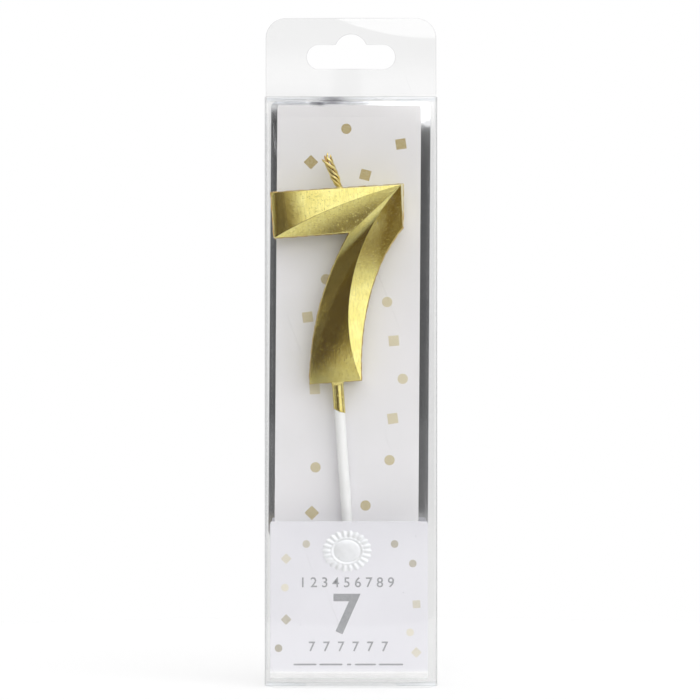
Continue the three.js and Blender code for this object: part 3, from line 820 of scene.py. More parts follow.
for end, put in (("top", at_top), ("bottom", at_bottom)):
    make_sheet(f"{end}_tuck_lid", put(tuck_sheet()), SHEET, clear_flap, "clear_sheet", rim=0.08,
               marks_at=pinch_shade_marks, body=f"{end}_lid_fold", stands_for=(f"{end}_lid", f"{end}_tuck_tongue"))
    for side, sign in (("left", -1), ("right", 1)):
        make_sheet(f"{end}_{side}_flap", put(dust_flap(sign)), SHEET, clear_flap, "clear_sheet", rim=0.3,
                   body=f"{end}_{side}_flap_fold", stands_for=(f"{end}_dust_flap_{side}",))

# %% [markdown]
# ## Card
# The card is board with a mirror film on its face, and it sits a little askew in its box: in the picture its
# foot lies about a millimetre further left than its top. Film and print are thin upright sheets whose points
# are turned about the card's middle. The film's material tells face from edge by the surface's own normal:
# mirror in front, bare white board on the cut edges and behind.

# %% Mirror card
def facing_front(tree):
    """1 where a surface faces the window, 0 on edges and behind."""
    normal = add_node(tree, "ShaderNodeNewGeometry").outputs["Normal"]
    return calculate(tree, "LESS_THAN", add_node(tree, "ShaderNodeSeparateXYZ", _0=normal).outputs[1], -0.5)


# The film's waves are between one and two thousandths of a millimetre high, just enough to waver what it
# mirrors.
RIPPLE = 0.0000015
mirror_film, tree, output = new_material("mirror_film")
film = facing_front(tree)
hairlines = use_group(tree, scratches, Spacing=1500.0, Turn=0.05, Share=0.12)["Mask"]
cloud = use_group(tree, mottle, Spacing=90.0)["Value"]
dust = use_group(tree, specks, Spacing=700.0, Size=0.12, Share=0.15)["Mask"]
silver = blend_colours(tree, cloud, (0.74, 0.745, 0.76, 1), (0.80, 0.80, 0.815, 1))
silver = blend_colours(tree, dust, silver, grey(0.9), 0.5)
colour = blend_colours(tree, film, (0.80, 0.79, 0.77, 1), silver)
rough = plus_share(tree, 0.02, hairlines, 0.05)
rough = plus_share(tree, rough, calculate(tree, "SUBTRACT", 1.0, film), 0.6)
normal = bump(tree, noise(tree, 260.0, 1.0), RIPPLE)
principled(tree, output, Base_Color=colour, Metallic=film, Roughness=rough, Normal=normal)

# %% Film and print, a little askew
CARD_SKEW = math.radians(0.38)
CARD_MIDDLE = 90.0
CARD_TOP, PRINT_TOP = 177.55, 176.4
CARD_CORNER, PRINT_CORNER, CARD_INSIDE = 1.8, 0.9, 0.05
GLUE_SIDE = flap_high[0] + CARD_INSIDE
# Below this much under the label's top edge the label hides the card, which then stays this far inside it.
BEHIND_LABEL, LABEL_MARGIN = 3.6, 0.25
label_low, label_high = node_box("label_panel")


def card_sheet(node, corner, top):
    """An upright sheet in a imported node's place, up to top. Half width shrinks at the top by corner times
    1 - sqrt(1 - share squared), a quarter circle. Then x grows by the skew times the height over the middle,
    but stays clear of the glue flap, and behind the label no wider than the label."""
    low, high = node_box(node)
    rise = np.concatenate([np.linspace(low[2] + CARD_INSIDE, top - corner, 60)[:-1],
                           top - corner + (corner - CARD_INSIDE) * np.sin(np.linspace(0, 1, 9) * np.pi / 2)])
    share = np.clip((rise - (top - corner)) / corner, 0, 1)
    half = (high[0] - low[0]) / 2 - CARD_INSIDE - corner * (1 - np.sqrt(1 - share ** 2))
    x = (low[0] + high[0]) / 2 + half[:, None] * np.linspace(-1, 1, 31)[None]
    z = np.broadcast_to(rise[:, None], x.shape)
    x = np.maximum(x + math.tan(CARD_SKEW) * (z - CARD_MIDDLE), GLUE_SIDE)
    hidden = z < label_high[2] - BEHIND_LABEL
    x = np.where(hidden, np.clip(x, label_low[0] + LABEL_MARGIN, label_high[0] - LABEL_MARGIN), x)
    return np.stack([x, np.full_like(x, (low[1] + high[1] - GAP) / 2), z], -1), high[1] - low[1] - GAP


make_sheet("mirror_card_sheet", *card_sheet("backing_card", CARD_CORNER, CARD_TOP), mirror_film, "mirror_card",
           stands_for=("backing_card",))

# %% [markdown]
# The white print covers the film but for silver strips at the sides and the top. It is ink on film: smooth,
# with a soft sheen and a faint grain. The folded label below is the same board, printed a slightly bluer
# white.

# %% Printed whites
def printed_white(name, colour, deeper, sheen):
    """White ink on board: two close colours mixed by a soft mottle, with a fine grain in its normal. Where
    the attribute mark is 1, a brighter white is painted in as painted light."""
    material, tree, output = new_material(name)
    cloud = use_group(tree, mottle, Spacing=45.0)["Value"]
    dust = use_group(tree, specks, Spacing=170.0, Size=0.035, Share=0.10)["Mask"]
    shade = blend_colours(tree, cloud, colour, deeper)
    shade = blend_colours(tree, dust, shade, (0.45, 0.42, 0.38, 1), 0.35)
    # Painted light: a brighter white where the mark is 1, on the label's bevel and the floor.
    shade = blend_colours(tree, mark_value(tree), shade, grey(0.91))
    rough = plus_share(tree, sheen, cloud, 0.08)
    normal = bump(tree, noise(tree, 2600.0, 2.0), 0.00002, 0.25)
    principled(tree, output, Base_Color=shade, Roughness=rough, Normal=normal)
    return material


panel_white = printed_white("panel_white", (0.765, 0.755, 0.775, 1), (0.73, 0.725, 0.74, 1), sheen=0.42)
label_white = printed_white("label_white", (0.71, 0.705, 0.745, 1), (0.685, 0.68, 0.72, 1), sheen=0.5)
make_sheet("printed_panel", *card_sheet("printed_face", PRINT_CORNER, PRINT_TOP), panel_white, "white_print",
           stands_for=("printed_face",))

# %% [markdown]
# The floor and the upright label are the same strip of board, folded twice. A line that runs forward along
# the floor, up the bevel and up the label is carried across the width, with a small round bend at each fold.
# The bevel and the floor are painted a brighter white than the label: painted light on the bevel.

# %% Folded floor and label
floor_low, floor_high = node_box("card_floor")
BOARD = label_high[1] - label_low[1]
LABEL_BEVEL = label_low[2] - floor_low[2]
FLOOR_INSET, FOLD_RADIUS, LABEL_INSET, LABEL_CORNER, BEVEL_LIGHT_FADE = 0.15, 0.7, 0.12, 0.25, 0.35


def folded_label():
    """The strip's middle line in y and z, carried across x. Its upper corners are rounded."""
    half = BOARD / 2
    bend = half * math.tan(math.pi / 8)
    front = label_low[1] + half
    line = [
        (floor_high[1] - FLOOR_INSET, floor_low[2] + half),
        (label_low[1] + LABEL_BEVEL + bend, floor_low[2] + half),
        (front, label_low[2] - bend),
        (front, label_high[2] - LABEL_INSET),
    ]
    line = filled(rounded_line(line, [FOLD_RADIUS] * 2), 1.2)
    edge = np.clip(line[:, 1] - (label_high[2] - LABEL_INSET - LABEL_CORNER), 0, LABEL_CORNER)
    rounding = LABEL_CORNER - np.sqrt(LABEL_CORNER ** 2 - edge ** 2)
    width = (label_high[0] - label_low[0]) / 2 - LABEL_INSET - rounding
    x = (label_low[0] + label_high[0]) / 2 + width[:, None] * np.linspace(-1, 1, 31)[None]
    y, z = [np.broadcast_to(line[:, k, None], x.shape) for k in (0, 1)]
    return np.stack([x, y, z], -1)


def bevel_light_marks(points):
    """Painted light: 1 on the bevel and the floor, falling to 0 at the fade height over the label's fold."""
    return np.clip((label_low[2] + BEVEL_LIGHT_FADE - points[:, 2]) / BEVEL_LIGHT_FADE, 0, 1)


make_sheet("folded_label", folded_label(), BOARD, label_white, "label_card", marks_at=bevel_light_marks,
           stands_for=("card_floor", "label_panel"))

# %% [markdown]
# ## Confetti print
# Confetti discs and squares are printed on the panel and on the label. Each is a thin raised patch: its edge
# is a distance for each direction, a constant for a disc and half / max(|cos|, |sin|) for a square, and the
# ink swells a hair towards its middle. Paler pieces carry a higher mark, which the ink's material turns into
# a paler colour.

# %% Patches of ink
INK = 0.02
PATCH_SIDES = 32
# Each ring's share of the edge distance, and its height over the card as a share of INK.
PATCH_RINGS = np.array([(0.02, 1.0), (0.6, 0.95), (0.92, 0.8), (1.0, 0.5), (1.0, -0.6)])


def ink_patch(column, row, size, turn, square, depth):
    """One patch at a picture point: rings round it at shares of its edge distance. The first ring is highest,
    and the last ring returns to the card."""
    angle = round_angles(PATCH_SIDES)
    edge = np.full(PATCH_SIDES, size / 2)
    if square:
        edge = edge / np.maximum(np.abs(np.cos(angle)), np.abs(np.sin(angle)))
    share, rise = PATCH_RINGS.T[:, :, None]
    spin = angle + math.radians(turn)
    x0, z0 = from_picture(column, row, depth)
    x, z = x0 + share * edge * np.cos(spin), z0 + share * edge * np.sin(spin)
    return capped_rings(np.stack([x, np.broadcast_to(depth - rise * INK, x.shape), z], -1))


def confetti(name, patches, size, depth, material, slot):
    """All patches on one plane as one piece. Each is column, row, turn, square or not, and its paleness."""
    made = [ink_patch(column, row, size, turn, square, depth) for column, row, turn, square, _ in patches]
    marks = np.repeat([pale for *_, pale in patches], len(PATCH_RINGS) * PATCH_SIDES)
    return make_piece(name, *joined(made), material, slot, marks=marks)


# %% Confetti inks
def confetti_ink(name, strong, weak):
    """Matt ink from the strong to the weak colour by each patch's mark, with a fine grain of the weak one."""
    material, tree, output = new_material(name)
    grain = use_group(tree, mottle, Spacing=1800.0, Low=0.0, High=0.3)["Value"]
    tan = blend_colours(tree, mark_value(tree), strong, weak)
    tan = blend_colours(tree, grain, tan, weak)
    principled(tree, output, Base_Color=tan, Roughness=0.45)
    return material


gold_ink = confetti_ink("gold_ink", (0.37, 0.285, 0.10, 1), (0.76, 0.72, 0.58, 1))
beige_ink = confetti_ink("beige_ink", (0.33, 0.30, 0.245, 1), (0.68, 0.645, 0.55, 1))

PANEL_PATCH, LABEL_PATCH = 3.15, 2.3
# Column and row in the picture, turn in degrees, square or not, and paleness.
PANEL_CONFETTI = [
    (346.3, 128.8, 0, False, 0.0), (325.9, 279.2, 0, False, 0.35), (387.1, 302.0, 0, False, 0.55),
    (402.7, 378.8, 0, False, 0.6), (315.5, 467.3, 0, False, 0.4), (389.5, 460.1, 0, False, 0.4),
    (365.5, 505.5, 0, False, 0.25), (400.9, 144.0, 8, True, 0.0), (365.3, 174.9, -15, True, 0.05),
    (307.6, 317.1, 8, True, 0.45), (393.8, 340.8, 5, True, 0.6), (314.7, 389.0, 4, True, 0.65),
    (392.7, 418.5, 8, True, 0.55), (310.9, 162.1, 45, True, 0.0), (311.8, 512.8, 45, True, 0.25),
]
confetti("panel_confetti", PANEL_CONFETTI, PANEL_PATCH, node_box("printed_face")[0][1], gold_ink,
         "white_print")

LABEL_CONFETTI = [
    (306.3, 544.0, 0, False, 0.5), (284.9, 587.6, 0, False, 1.0), (278.5, 648.2, 0, False, 0.1),
    (394.6, 544.0, 0, False, 0.2), (412.8, 563.5, 0, False, 0.25), (410.1, 632.3, 0, False, 1.0),
    (286.1, 558.7, 45, True, 0.8), (286.1, 619.5, 45, True, 0.3), (416.3, 652.4, 45, True, 0.85),
    (416.5, 604.2, 4, True, 0.7),
]
confetti("label_confetti", LABEL_CONFETTI, LABEL_PATCH, label_low[1], beige_ink, "label_card")

# %% [markdown]
# ## Label print
# The photographed label carries a name and lines of words, which are left out. Plain numbers take their
# place: a large grey seven, two small rows of digits, and a broken rule where the smallest line was. Digits are
# Blender text turned into mesh; it is flat, so it is given the same hair of ink height before it is placed.

# %% Grey print
grey_ink, tree, output = new_material("grey_ink")
wear = use_group(tree, mottle, Spacing=1500.0, Low=0.0, High=0.25)["Value"]
shade = blend_colours(tree, wear, (0.27, 0.275, 0.285, 1), (0.50, 0.50, 0.53, 1))
principled(tree, output, Base_Color=shade, Roughness=0.5)


def printed_text(name, words, column, row, height, bold=0.0):
    """Text as a flat mesh with the ink's height, standing on the label's front with its middle at a picture
    point. Height is that of a digit, and bold widens its strokes."""
    curve = bpy.data.curves.new(name, "FONT")
    curve.body, curve.size, curve.align_x, curve.align_y = words, 1.0, "CENTER", "CENTER"
    curve.offset, curve.extrude, curve.resolution_u = bold, 0.5, 4
    text = bpy.data.objects.new(name, curve)
    bpy.context.scene.collection.objects.link(text)
    mesh = text.to_mesh()
    flat = np.zeros(len(mesh.vertices) * 3)
    mesh.vertices.foreach_get("co", flat)
    flat = flat.reshape(-1, 3)
    faces = [list(face.vertices) for face in mesh.polygons]
    bpy.data.objects.remove(text)
    low, high = flat.min(0), flat.max(0)
    flat -= (low + high) / 2
    scale = height / (high[1] - low[1])
    x0, z0 = from_picture(column, row, label_low[1])
    x, y, z = x0 + flat[:, 0] * scale, label_low[1] - INK * (flat[:, 2] + 0.4), z0 + flat[:, 1] * scale
    return make_piece(name, np.stack([x, y, z], -1), faces, grey_ink, "label_card")


printed_text("label_seven", "7", 347, 614, height=12.2, bold=0.022)
printed_text("label_digits", "1 2 3 4 5 6 7 8 9", 348, 582.3, height=3.1, bold=0.009)
printed_text("label_sevens", "7  7  7  7  7  7", 348.5, 646.5, height=3.0, bold=0.013)


# The rule's picture row and half its thickness, then the column and the straight half length of each piece.
RULE_ROW, RULE_HALF = 664.5, 0.26
RULE_PIECES = ((305, 3.2), (331, 3.2), (349, 0.4), (365.5, 2.9), (391, 3.4))


def round_ended_bar(column, half):
    """A thin bar with round ends: a circle whose right half moves right and whose left half moves left, once
    at the ink's height and once just inside the card."""
    angle = round_angles(24)
    x0, z0 = from_picture(column, RULE_ROW, label_low[1])
    x = x0 + np.where(np.cos(angle) > 0, half, -half) + RULE_HALF * np.cos(angle)
    z = z0 + RULE_HALF * np.sin(angle)
    return capped_rings(np.stack([np.stack([x, np.full_like(x, label_low[1] + side), z], -1)
                                  for side in (-INK, INK / 2)]))


make_piece("label_rules", *joined([round_ended_bar(*piece) for piece in RULE_PIECES]), grey_ink, "label_card")

# %% [markdown]
# The photographed name sits in a raised silvery shape. A plain pleated rosette stands there instead, wide as
# that shape: a dome in the middle, a ring round it, and pleats out to a scalloped edge.

# %% Plain seal
PLEATS = 22
seal_silver, tree, output = new_material("seal_silver")
cloud = use_group(tree, mottle, Spacing=500.0)["Value"]
shade = blend_colours(tree, cloud, (0.74, 0.75, 0.77, 1), (0.79, 0.80, 0.82, 1))
principled(tree, output, Base_Color=shade, Metallic=0.3, Roughness=plus_share(tree, 0.30, cloud, 0.05))


def plain_seal(column, row, half_width, half_height):
    """An ellipse's two half sizes times share, times 1 + 0.035 cos(PLEATS x angle) near the edge. Height = a
    dome within 0.55, a ring at 0.64, and pleats of 0.09 mm beyond it that fade at the edge."""
    angle = round_angles(12 * PLEATS)
    share = np.concatenate([[0.01], np.linspace(0.1, 1.0, 27), [1.0]])[:, None]
    wave = 1 + 0.035 * np.cos(PLEATS * angle) * share ** 3
    dome = 0.30 * np.sqrt(np.clip(1 - (share / 0.55) ** 2, 0, 1))
    ring = 0.22 * np.exp(-((share - 0.64) / 0.045) ** 2)
    beyond = np.clip((share - 0.66) / 0.08, 0, 1) * np.clip((1.06 - share) / 0.2, 0, 1)
    pleat = (0.17 + 0.09 * np.cos(PLEATS * angle)) * beyond
    height = 0.08 + dome + ring + pleat
    height[-1] = -0.02
    x0, z0 = from_picture(column, row, label_low[1])
    x, z = x0 + half_width * share * wave * np.cos(angle), z0 + half_height * share * wave * np.sin(angle)
    return capped_rings(np.stack([x, label_low[1] - height, z], -1))


make_piece("plain_seal", *plain_seal(347, 551, half_width=7.3, half_height=6.1), seal_silver, "label_card")

# %% [markdown]
# ## Numeral
# The seven is cast wax with four slanted facets: two on the bar and two on the stem, which meet in ridges
# that climb to the top right corner. Each facet is ruled: it runs straight from one curved line to another.
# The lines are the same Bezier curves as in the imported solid, so both have one shape. Rows of points crowd
# near the ridges and edges, where smooth shading then turns them into the small soft roundings of a casting,
# while the rest of each facet stays flat. The wall slopes out to the parting line half way through, where the
# mould left a thin flash.

# %% The numeral's lines
EDGE_HEIGHT, PEAK_HEIGHT = 2.7, 5.6
TOP_LEFT_HEIGHT = 2.35
TOP_LEFT, TOP_RIGHT = (-16.0, 58.6), (23.3, 58.2)
BAR_CORNER, INNER, ELBOW = (-16.0, 44.9), (6.9, 44.9), (23.0, 45.2)
FOOT_START, FOOT_END = (-8.4, 0.0), (7.2, 0.0)
BAR_BEND = (0.70, 53.53)
STEM_BENDS = [(7.04, 42.49), (0.49, 19.51)]
LEFT_BEND = (-6.40, 24.52)
RIGHT_BENDS = [(12.30, 34.21), (7.60, 15.98)]


def bezier(points, share):
    """A Bezier curve: each control point weighted by its binomial share."""
    points = np.asarray(points, float)
    order = len(points) - 1
    weights = [math.comb(order, k) * (1 - share) ** (order - k) * share ** k for k in range(order + 1)]
    return np.tensordot(np.stack(weights, -1), points, axes=1)


def raised(points, share, start, end):
    """A curve in the numeral's plane with a height that runs evenly from start to end: x, z, height."""
    line = bezier(points, share)
    return np.column_stack([line, start + (end - start) * share])


def crowded(count, edge=0.012):
    """Shares from 0 to 1 that crowd at both ends."""
    start = np.array([0, edge / 3, edge])
    return np.concatenate([start, np.linspace(edge * 3, 1 - edge * 3, count), 1 - start[::-1]])


along = crowded(56)
across = crowded(9, 0.045)
bar_top = raised([TOP_LEFT, TOP_RIGHT], along, TOP_LEFT_HEIGHT, PEAK_HEIGHT)
bar_ridge = raised([BAR_CORNER, BAR_BEND, TOP_RIGHT], along, EDGE_HEIGHT, PEAK_HEIGHT)
bar_under = raised([BAR_CORNER, INNER], along, EDGE_HEIGHT, EDGE_HEIGHT)
stem_ridge = raised([TOP_RIGHT, *STEM_BENDS, FOOT_END], along, PEAK_HEIGHT, EDGE_HEIGHT)
stem_left = raised([INNER, LEFT_BEND, FOOT_START], along, EDGE_HEIGHT, EDGE_HEIGHT)
stem_right = raised([ELBOW, *RIGHT_BENDS, FOOT_END], along, EDGE_HEIGHT, EDGE_HEIGHT)

# %% The numeral's surface
ROLL_START, ROLL_DEPTH = -6.0, 0.55
DRAFT, FLARE, FLASH = math.tan(math.radians(3)), 0.17, 0.24
# Each band's share of the way down the wall, and how far it stands out into the flash.
WALL_BANDS = ((0, 0), (0.05, 0), (0.12, 0), (0.3, 0), (0.6, 0), (0.84, 0), (0.91, 0.25), (0.96, 0.8), (1, 1))


def ruled(first, second):
    """A ruled facet: every point lies on the straight line from one curve to the other at the same share."""
    share = across[:, None, None]
    return first[None] * (1 - share) + second[None] * share


def rolled(surface):
    """The bar's left end rolls back: height falls by ROLL_DEPTH times the squared share of the way to the
    end."""
    x, z, height = np.moveaxis(surface, -1, 0)
    share = np.clip((ROLL_START - x) / (ROLL_START - TOP_LEFT[0]), 0, 1)
    on_bar = np.clip((z - 40) / 4, 0, 1)
    return np.stack([x, z, height - ROLL_DEPTH * share ** 2 * on_bar], -1)


def outline():
    """The face's edge, once round."""
    step = across[:, None]
    left = bar_top[0] * (1 - step) + bar_ridge[0] * step
    foot = (stem_ridge[-1] * (1 - step) + stem_left[-1] * step)[::-1]
    right = stem_right[0] * (1 - step) + stem_ridge[0] * step
    runs = [left, bar_under, stem_left, foot, stem_right[::-1], right, bar_top[::-1]]
    return np.concatenate([run[:-1] for run in runs])


def wall(edge):
    """Bands from the face's edge down to the parting line. Each point moves out by its height times the
    draft, plus a flare to the right towards the peak. The last bands stand out as the mould's flash, and
    its width wavers with three sines of the way round the edge."""
    flat, height = edge[:, :2], edge[:, 2]
    ahead, behind = unit(np.roll(flat, -1, 0) - flat), unit(flat - np.roll(flat, 1, 0))
    out = unit(np.stack([(ahead + behind)[:, 1], -(ahead + behind)[:, 0]], -1))
    mitre = 1 / np.clip(out[:, 0] * behind[:, 1] - out[:, 1] * behind[:, 0], 0.55, 1)
    foot = flat + out * (height * DRAFT * mitre)[:, None]
    foot[:, 0] += (height - EDGE_HEIGHT) * FLARE
    way = np.cumsum(np.linalg.norm(np.roll(edge, 1, 0) - edge, axis=1))
    waver = 0.2 * np.sin(1.7 * way) + 0.15 * np.sin(4.3 * way + 1) + 0.1 * np.sin(0.61 * way + 2)
    ragged = FLASH * (0.7 + waver)
    bands = []
    for share, push in WALL_BANDS:
        spot = flat + (foot - flat) * share + out * (push * ragged)[:, None]
        bands.append(np.column_stack([spot, height * (1 - share)]))
    return np.stack(bands)


edge = rolled(outline())
facets = [rolled(ruled(a, b)) for a, b in ((bar_top, bar_ridge), (bar_ridge, bar_under),
                                          (stem_ridge, stem_left), (stem_right, stem_ridge))]
wall_bands = wall(edge)
print("facets:", [facet.shape for facet in facets], "wall:", wall_bands.shape)

# %% [markdown]
# The candle leans: its top tips four degrees to the left, and because the thick numeral lies against the
# card while the thin stick is taped to it, the whole candle tilts a little forward as well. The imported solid
# does the same, and one turn and one shift carry every candle point there.

# %% Where the candle stands
STICK_RADIUS, STICK_LOW, STICK_TOP = 1.6, -70, 0.5
LEAN = math.radians(4)
TILT = math.asin((PEAK_HEIGHT - STICK_RADIUS) / (TOP_LEFT[1] - STICK_LOW))
CANDLE_AT = np.array([-4.101, 3.125, 92.1])


def lean_left(angle):
    """A turn about y that tips z towards -x."""
    return np.array([[math.cos(angle), 0, -math.sin(angle)], [0, 1, 0], [math.sin(angle), 0, math.cos(angle)]])


tilt_turn = np.array([[1, 0, 0], [0, math.cos(TILT), -math.sin(TILT)], [0, math.sin(TILT), math.cos(TILT)]])
CANDLE_TURN = lean_left(LEAN) @ tilt_turn


def candle_place(points):
    """Candle points, drawn upright with the stick's axis at x = 0, y = 0 and the numeral's foot at z = 0,
    turned and shifted to their place in the box."""
    return np.asarray(points) @ CANDLE_TURN.T + CANDLE_AT


def both_faces(surface, closed_across=False):
    """A surface given as x, z, height, once in front of the numeral's middle plane and once behind."""
    flat = surface.reshape(-1, 3)
    faces = grid_faces(*surface.shape[:2], closed_across)
    sides = [np.stack([flat[:, 0], side * flat[:, 2], flat[:, 1]], -1) for side in (-1, 1)]
    return [(side, faces) for side in sides]


# %% [markdown]
# ## Gold paint
# The paint is a bright metallic lacquer over wax. Its pigment lies in fine streaks, so the roughness varies
# and a faint sparkle shows where light grazes it. It is darker and more orange along the parting line, where
# the flash was trimmed. The distance from the parting line comes with the mesh as a mark on each point.
# On the wick the same dark orange is painted shade, in the gaps between its strands and on its core.

# %% Gold paint material
# The rubbed patch begins over the first of each pair and is whole from the second, in metres along x and z.
RUBBED_X, RUBBED_Z = (0.003, 0.008), (0.124, 0.132)


def gold_material(name, bright, deep, rough_low, rough_high, grain):
    """Metallic lacquer: two golds mixed by a mottle, with darker streaks, a few dark pits, and dark orange
    where
    the attribute mark is near 0: on the numeral the parting line where the flash was cut, and on the wick
    painted shade in the gaps between strands and on the core. Its normal carries brushing, grains, hairlines,
    and the glints of a rubbed patch at the numeral's upper right. grain is the height of the paint's grain in
    metres."""
    material, tree, output = new_material(name)
    where = place(tree)
    cloud = use_group(tree, mottle, Spacing=260.0)["Value"]
    hairline = use_group(tree, scratches, Spacing=2400.0, Turn=0.15, Share=0.2)["Mask"]
    grains = use_group(tree, specks, Spacing=1500.0, Size=0.45, Share=0.35)["Mask"]
    pits = use_group(tree, specks, Spacing=190.0, Size=0.06, Share=0.16)["Mask"]
    # Dark orange by the mark: the numeral's parting line where the flash was cut, and painted shade in the
    # wick's gaps and on its core.
    trim_and_gap_shade = smooth_step(tree, mark_value(tree), 0.8, 0.1)
    stretched = add_node(tree, "ShaderNodeMapping", Vector=where, Rotation=(0, 0.12, 0), Scale=(1, 1, 0.14))
    brushed = noise(tree, 5200.0, 1.0, stretched.outputs[0])
    streak = smooth_step(tree, noise(tree, 2800.0, 2.0, stretched.outputs[0]), 0.42, 0.72)
    gold = blend_colours(tree, cloud, bright, deep)
    gold = blend_colours(tree, streak, gold, (0.45, 0.36, 0.10, 1), 0.20)
    gold = blend_colours(tree, trim_and_gap_shade, gold, (0.52, 0.29, 0.09, 1), 0.75)
    gold = blend_colours(tree, pits, gold, (0.25, 0.17, 0.04, 1), 0.6)
    rough = plus_share(tree, rough_low, cloud, rough_high - rough_low)
    rough = plus_share(tree, rough, grains, 0.08)
    spot = add_node(tree, "ShaderNodeSeparateXYZ", _0=where).outputs
    rubbed = calculate(tree, "MULTIPLY", smooth_step(tree, spot[0], *RUBBED_X),
                       smooth_step(tree, spot[2], *RUBBED_Z))
    glints = use_group(tree, specks, Spacing=3000.0, Size=0.30, Share=0.14)["Mask"]
    glints = calculate(tree, "MULTIPLY", glints, calculate(tree, "ADD", rubbed, 0.1))
    height = calculate(tree, "ADD", brushed, grains)
    height = plus_share(tree, height, glints, 1.7)
    height = plus_share(tree, height, hairline, 0.2)
    principled(tree, output, Base_Color=gold, Metallic=1.0, Roughness=rough, Normal=bump(tree, height, grain))
    return material


numeral_gold = gold_material("numeral_gold", (0.88, 0.80, 0.30, 1), (0.85, 0.75, 0.25, 1),
                             rough_low=0.06, rough_high=0.09, grain=0.0000032)

parts = []
for facet in facets:
    parts += both_faces(facet)
parts += both_faces(wall_bands, closed_across=True)
points, faces = joined(parts)
make_piece("cast_numeral", candle_place(points), faces, numeral_gold, "gold_wax", stands_for=("number_body",),
           crease=80, marks=np.abs(points[:, 1]))

# %% [markdown]
# ## Wick
# The wick is a few strands twisted together and dipped in the same paint. Each strand is a tube carried
# along a helix about the wick's own axis, round a thin core of paint. At the cut end the strands spread and
# stop at different heights. Each tube's section has small ribs, the fibres under the paint.
# The strands' inner sides and the core between them are painted dark orange: painted shade in the gaps.

# %% Twisted wick
WICK_FOOT, WICK_LEAN, WICK_LENGTH = np.array([4.7, 0, 58.6]), math.radians(18.6), 11.3
# How deep a strand and the core start below the bar's top, and where the core ends above it.
STRAND_DEPTH, CORE_DEPTH, CORE_TOP = 2.5, 1.2, 7.4


def strand(start_angle, length, spread, lean_out, thick=0.40, turns=-1.1):
    """A tube along a helix. Its distance from the wick's axis swells from 0.42 to 0.98 mm over the first
    3.5 mm and spreads at the tip, with a wobble of two sines. Its radius = thick (1 + 0.1 cos 5 angle), so
    five fibres show, and it shrinks to a blunt end. Past three quarters of its length it straightens and
    leans out, as a cut strand does, and it thins to three quarters. Its mark falls from 0.8 on the outer
    side to 0.1 on the inner side, which paints shade into the gaps between strands."""
    share = np.linspace(0, 1, 81)
    rise = -STRAND_DEPTH + share * (length + STRAND_DEPTH)
    free = np.clip((share - 0.75) / 0.25, 0, 1)
    swell = 0.42 + 0.56 * np.clip(rise / 3.5, 0, 1) + spread * free ** 1.5
    swell = swell + 0.04 * np.sin(1.9 * rise + start_angle)
    turn = start_angle + 2 * np.pi * turns * np.clip(rise / WICK_LENGTH, -0.25, 0.84)
    turn = turn + 0.08 * np.sin(2.3 * rise)
    middle = np.stack([swell * np.cos(turn) + lean_out * free ** 2, swell * np.sin(turn), rise], -1)
    forward = unit(np.gradient(middle, axis=0))
    side = unit(np.cross(forward, [0.0, 1.0, 0.02]))
    other = np.cross(forward, side)
    angle = round_angles(30)
    radius = thick * (0.8 + 0.2 * np.clip(rise / 3, 0, 1) - 0.25 * free)
    radius = radius * np.sqrt(np.clip((1 - share) / 0.04, 0.02, 1))
    ribs = 1 + 0.1 * np.cos(5 * angle[None] + 14 * share[:, None])
    ring = np.cos(angle)[None, :, None] * side[:, None] + np.sin(angle)[None, :, None] * other[:, None]
    tube = middle[:, None] + ring * (radius[:, None] * ribs)[..., None]
    outward = np.linalg.norm(tube[..., :2], axis=-1) - np.linalg.norm(middle[:, None, :2], axis=-1)
    # Painted shade: the side of each strand that faces the gaps gets a low mark, which the paint turns dark
    # orange.
    marks = 0.1 + 0.7 * np.clip(outward / radius[:, None] + 0.3, 0, 1)
    return *capped_rings(tube), marks.ravel()


def turned(profile, steps):
    """A profile of radius and height, turned about z, with both ends closed by a flat cap."""
    angle = round_angles(steps)
    radius, height = np.asarray(profile, float).T
    return capped_rings(np.stack([radius[:, None] * np.cos(angle), radius[:, None] * np.sin(angle),
                                  np.broadcast_to(height[:, None], (len(height), steps))], -1))


def wick_core():
    """The paint that fills the middle: radius = 0.48 mm, and 1.13 mm in a small collar at the foot."""
    share = np.linspace(0, 1, 31)
    rise = -CORE_DEPTH + share * (CORE_DEPTH + CORE_TOP)
    radius = 0.48 + 0.65 * np.exp(-(np.clip(rise + 0.2, 0, None) / 0.7) ** 2)
    radius = radius * np.sqrt(np.clip((1 - share) / 0.05, 0.02, 1))
    return turned(np.stack([radius, rise], -1), 24)


def wick_place(points):
    """The wick's own axis leans left in the numeral's plane from the top of the bar."""
    return points @ lean_left(WICK_LEAN).T + WICK_FOOT


# Start angle, length, spread and outward lean of each strand.
STRANDS = ((0.4, 9.6, 0.25, -0.75), (1.66, 10.9, 0.1, 0.15), (2.92, 10.1, 0.15, -0.4),
           (4.17, 11.2, 0.3, 0.85), (5.43, 10.4, 0.1, 0.4))
strands = [strand(*each) for each in STRANDS]
core, core_faces = wick_core()
# Painted shade: the core is dark where it shows between the strands, and gold in the collar at the foot.
core_gap_shade = 0.1 + 0.7 * np.clip((1.2 - core[:, 2]) / 0.5, 0, 1)
marks = np.concatenate([marks for _, _, marks in strands] + [core_gap_shade])
points, faces = joined([(wick_place(p), f) for p, f, _ in strands] + [(wick_place(core), core_faces)])
wick_gold = gold_material("wick_gold", (0.80, 0.68, 0.30, 1), (0.62, 0.49, 0.17, 1),
                          rough_low=0.26, rough_high=0.36, grain=0.00002)
make_piece("twisted_wick", candle_place(points), faces, wick_gold, "gold_wick", stands_for=("wick",), crease=60,
           marks=marks)

# %% [markdown]
# ## Stick
# The stick is a moulded white plastic rod with a blunt point, partly hidden behind the label. A profile of
# radius against height is turned about its axis. The gold coat is paint from dipping the numeral: a thin
# sleeve with a slanted lower edge, and a small fillet of paint where it meets the foot.

# %% Turned stick
POINT_FLAT, POINT_ROUND, POINT_RADIUS, POINT_LENGTH = 0.25, 0.35, 0.8, 3.0
ROD_LOW, ROD_HIGH, STICK_BEVEL = -66.2, -8, 0.2

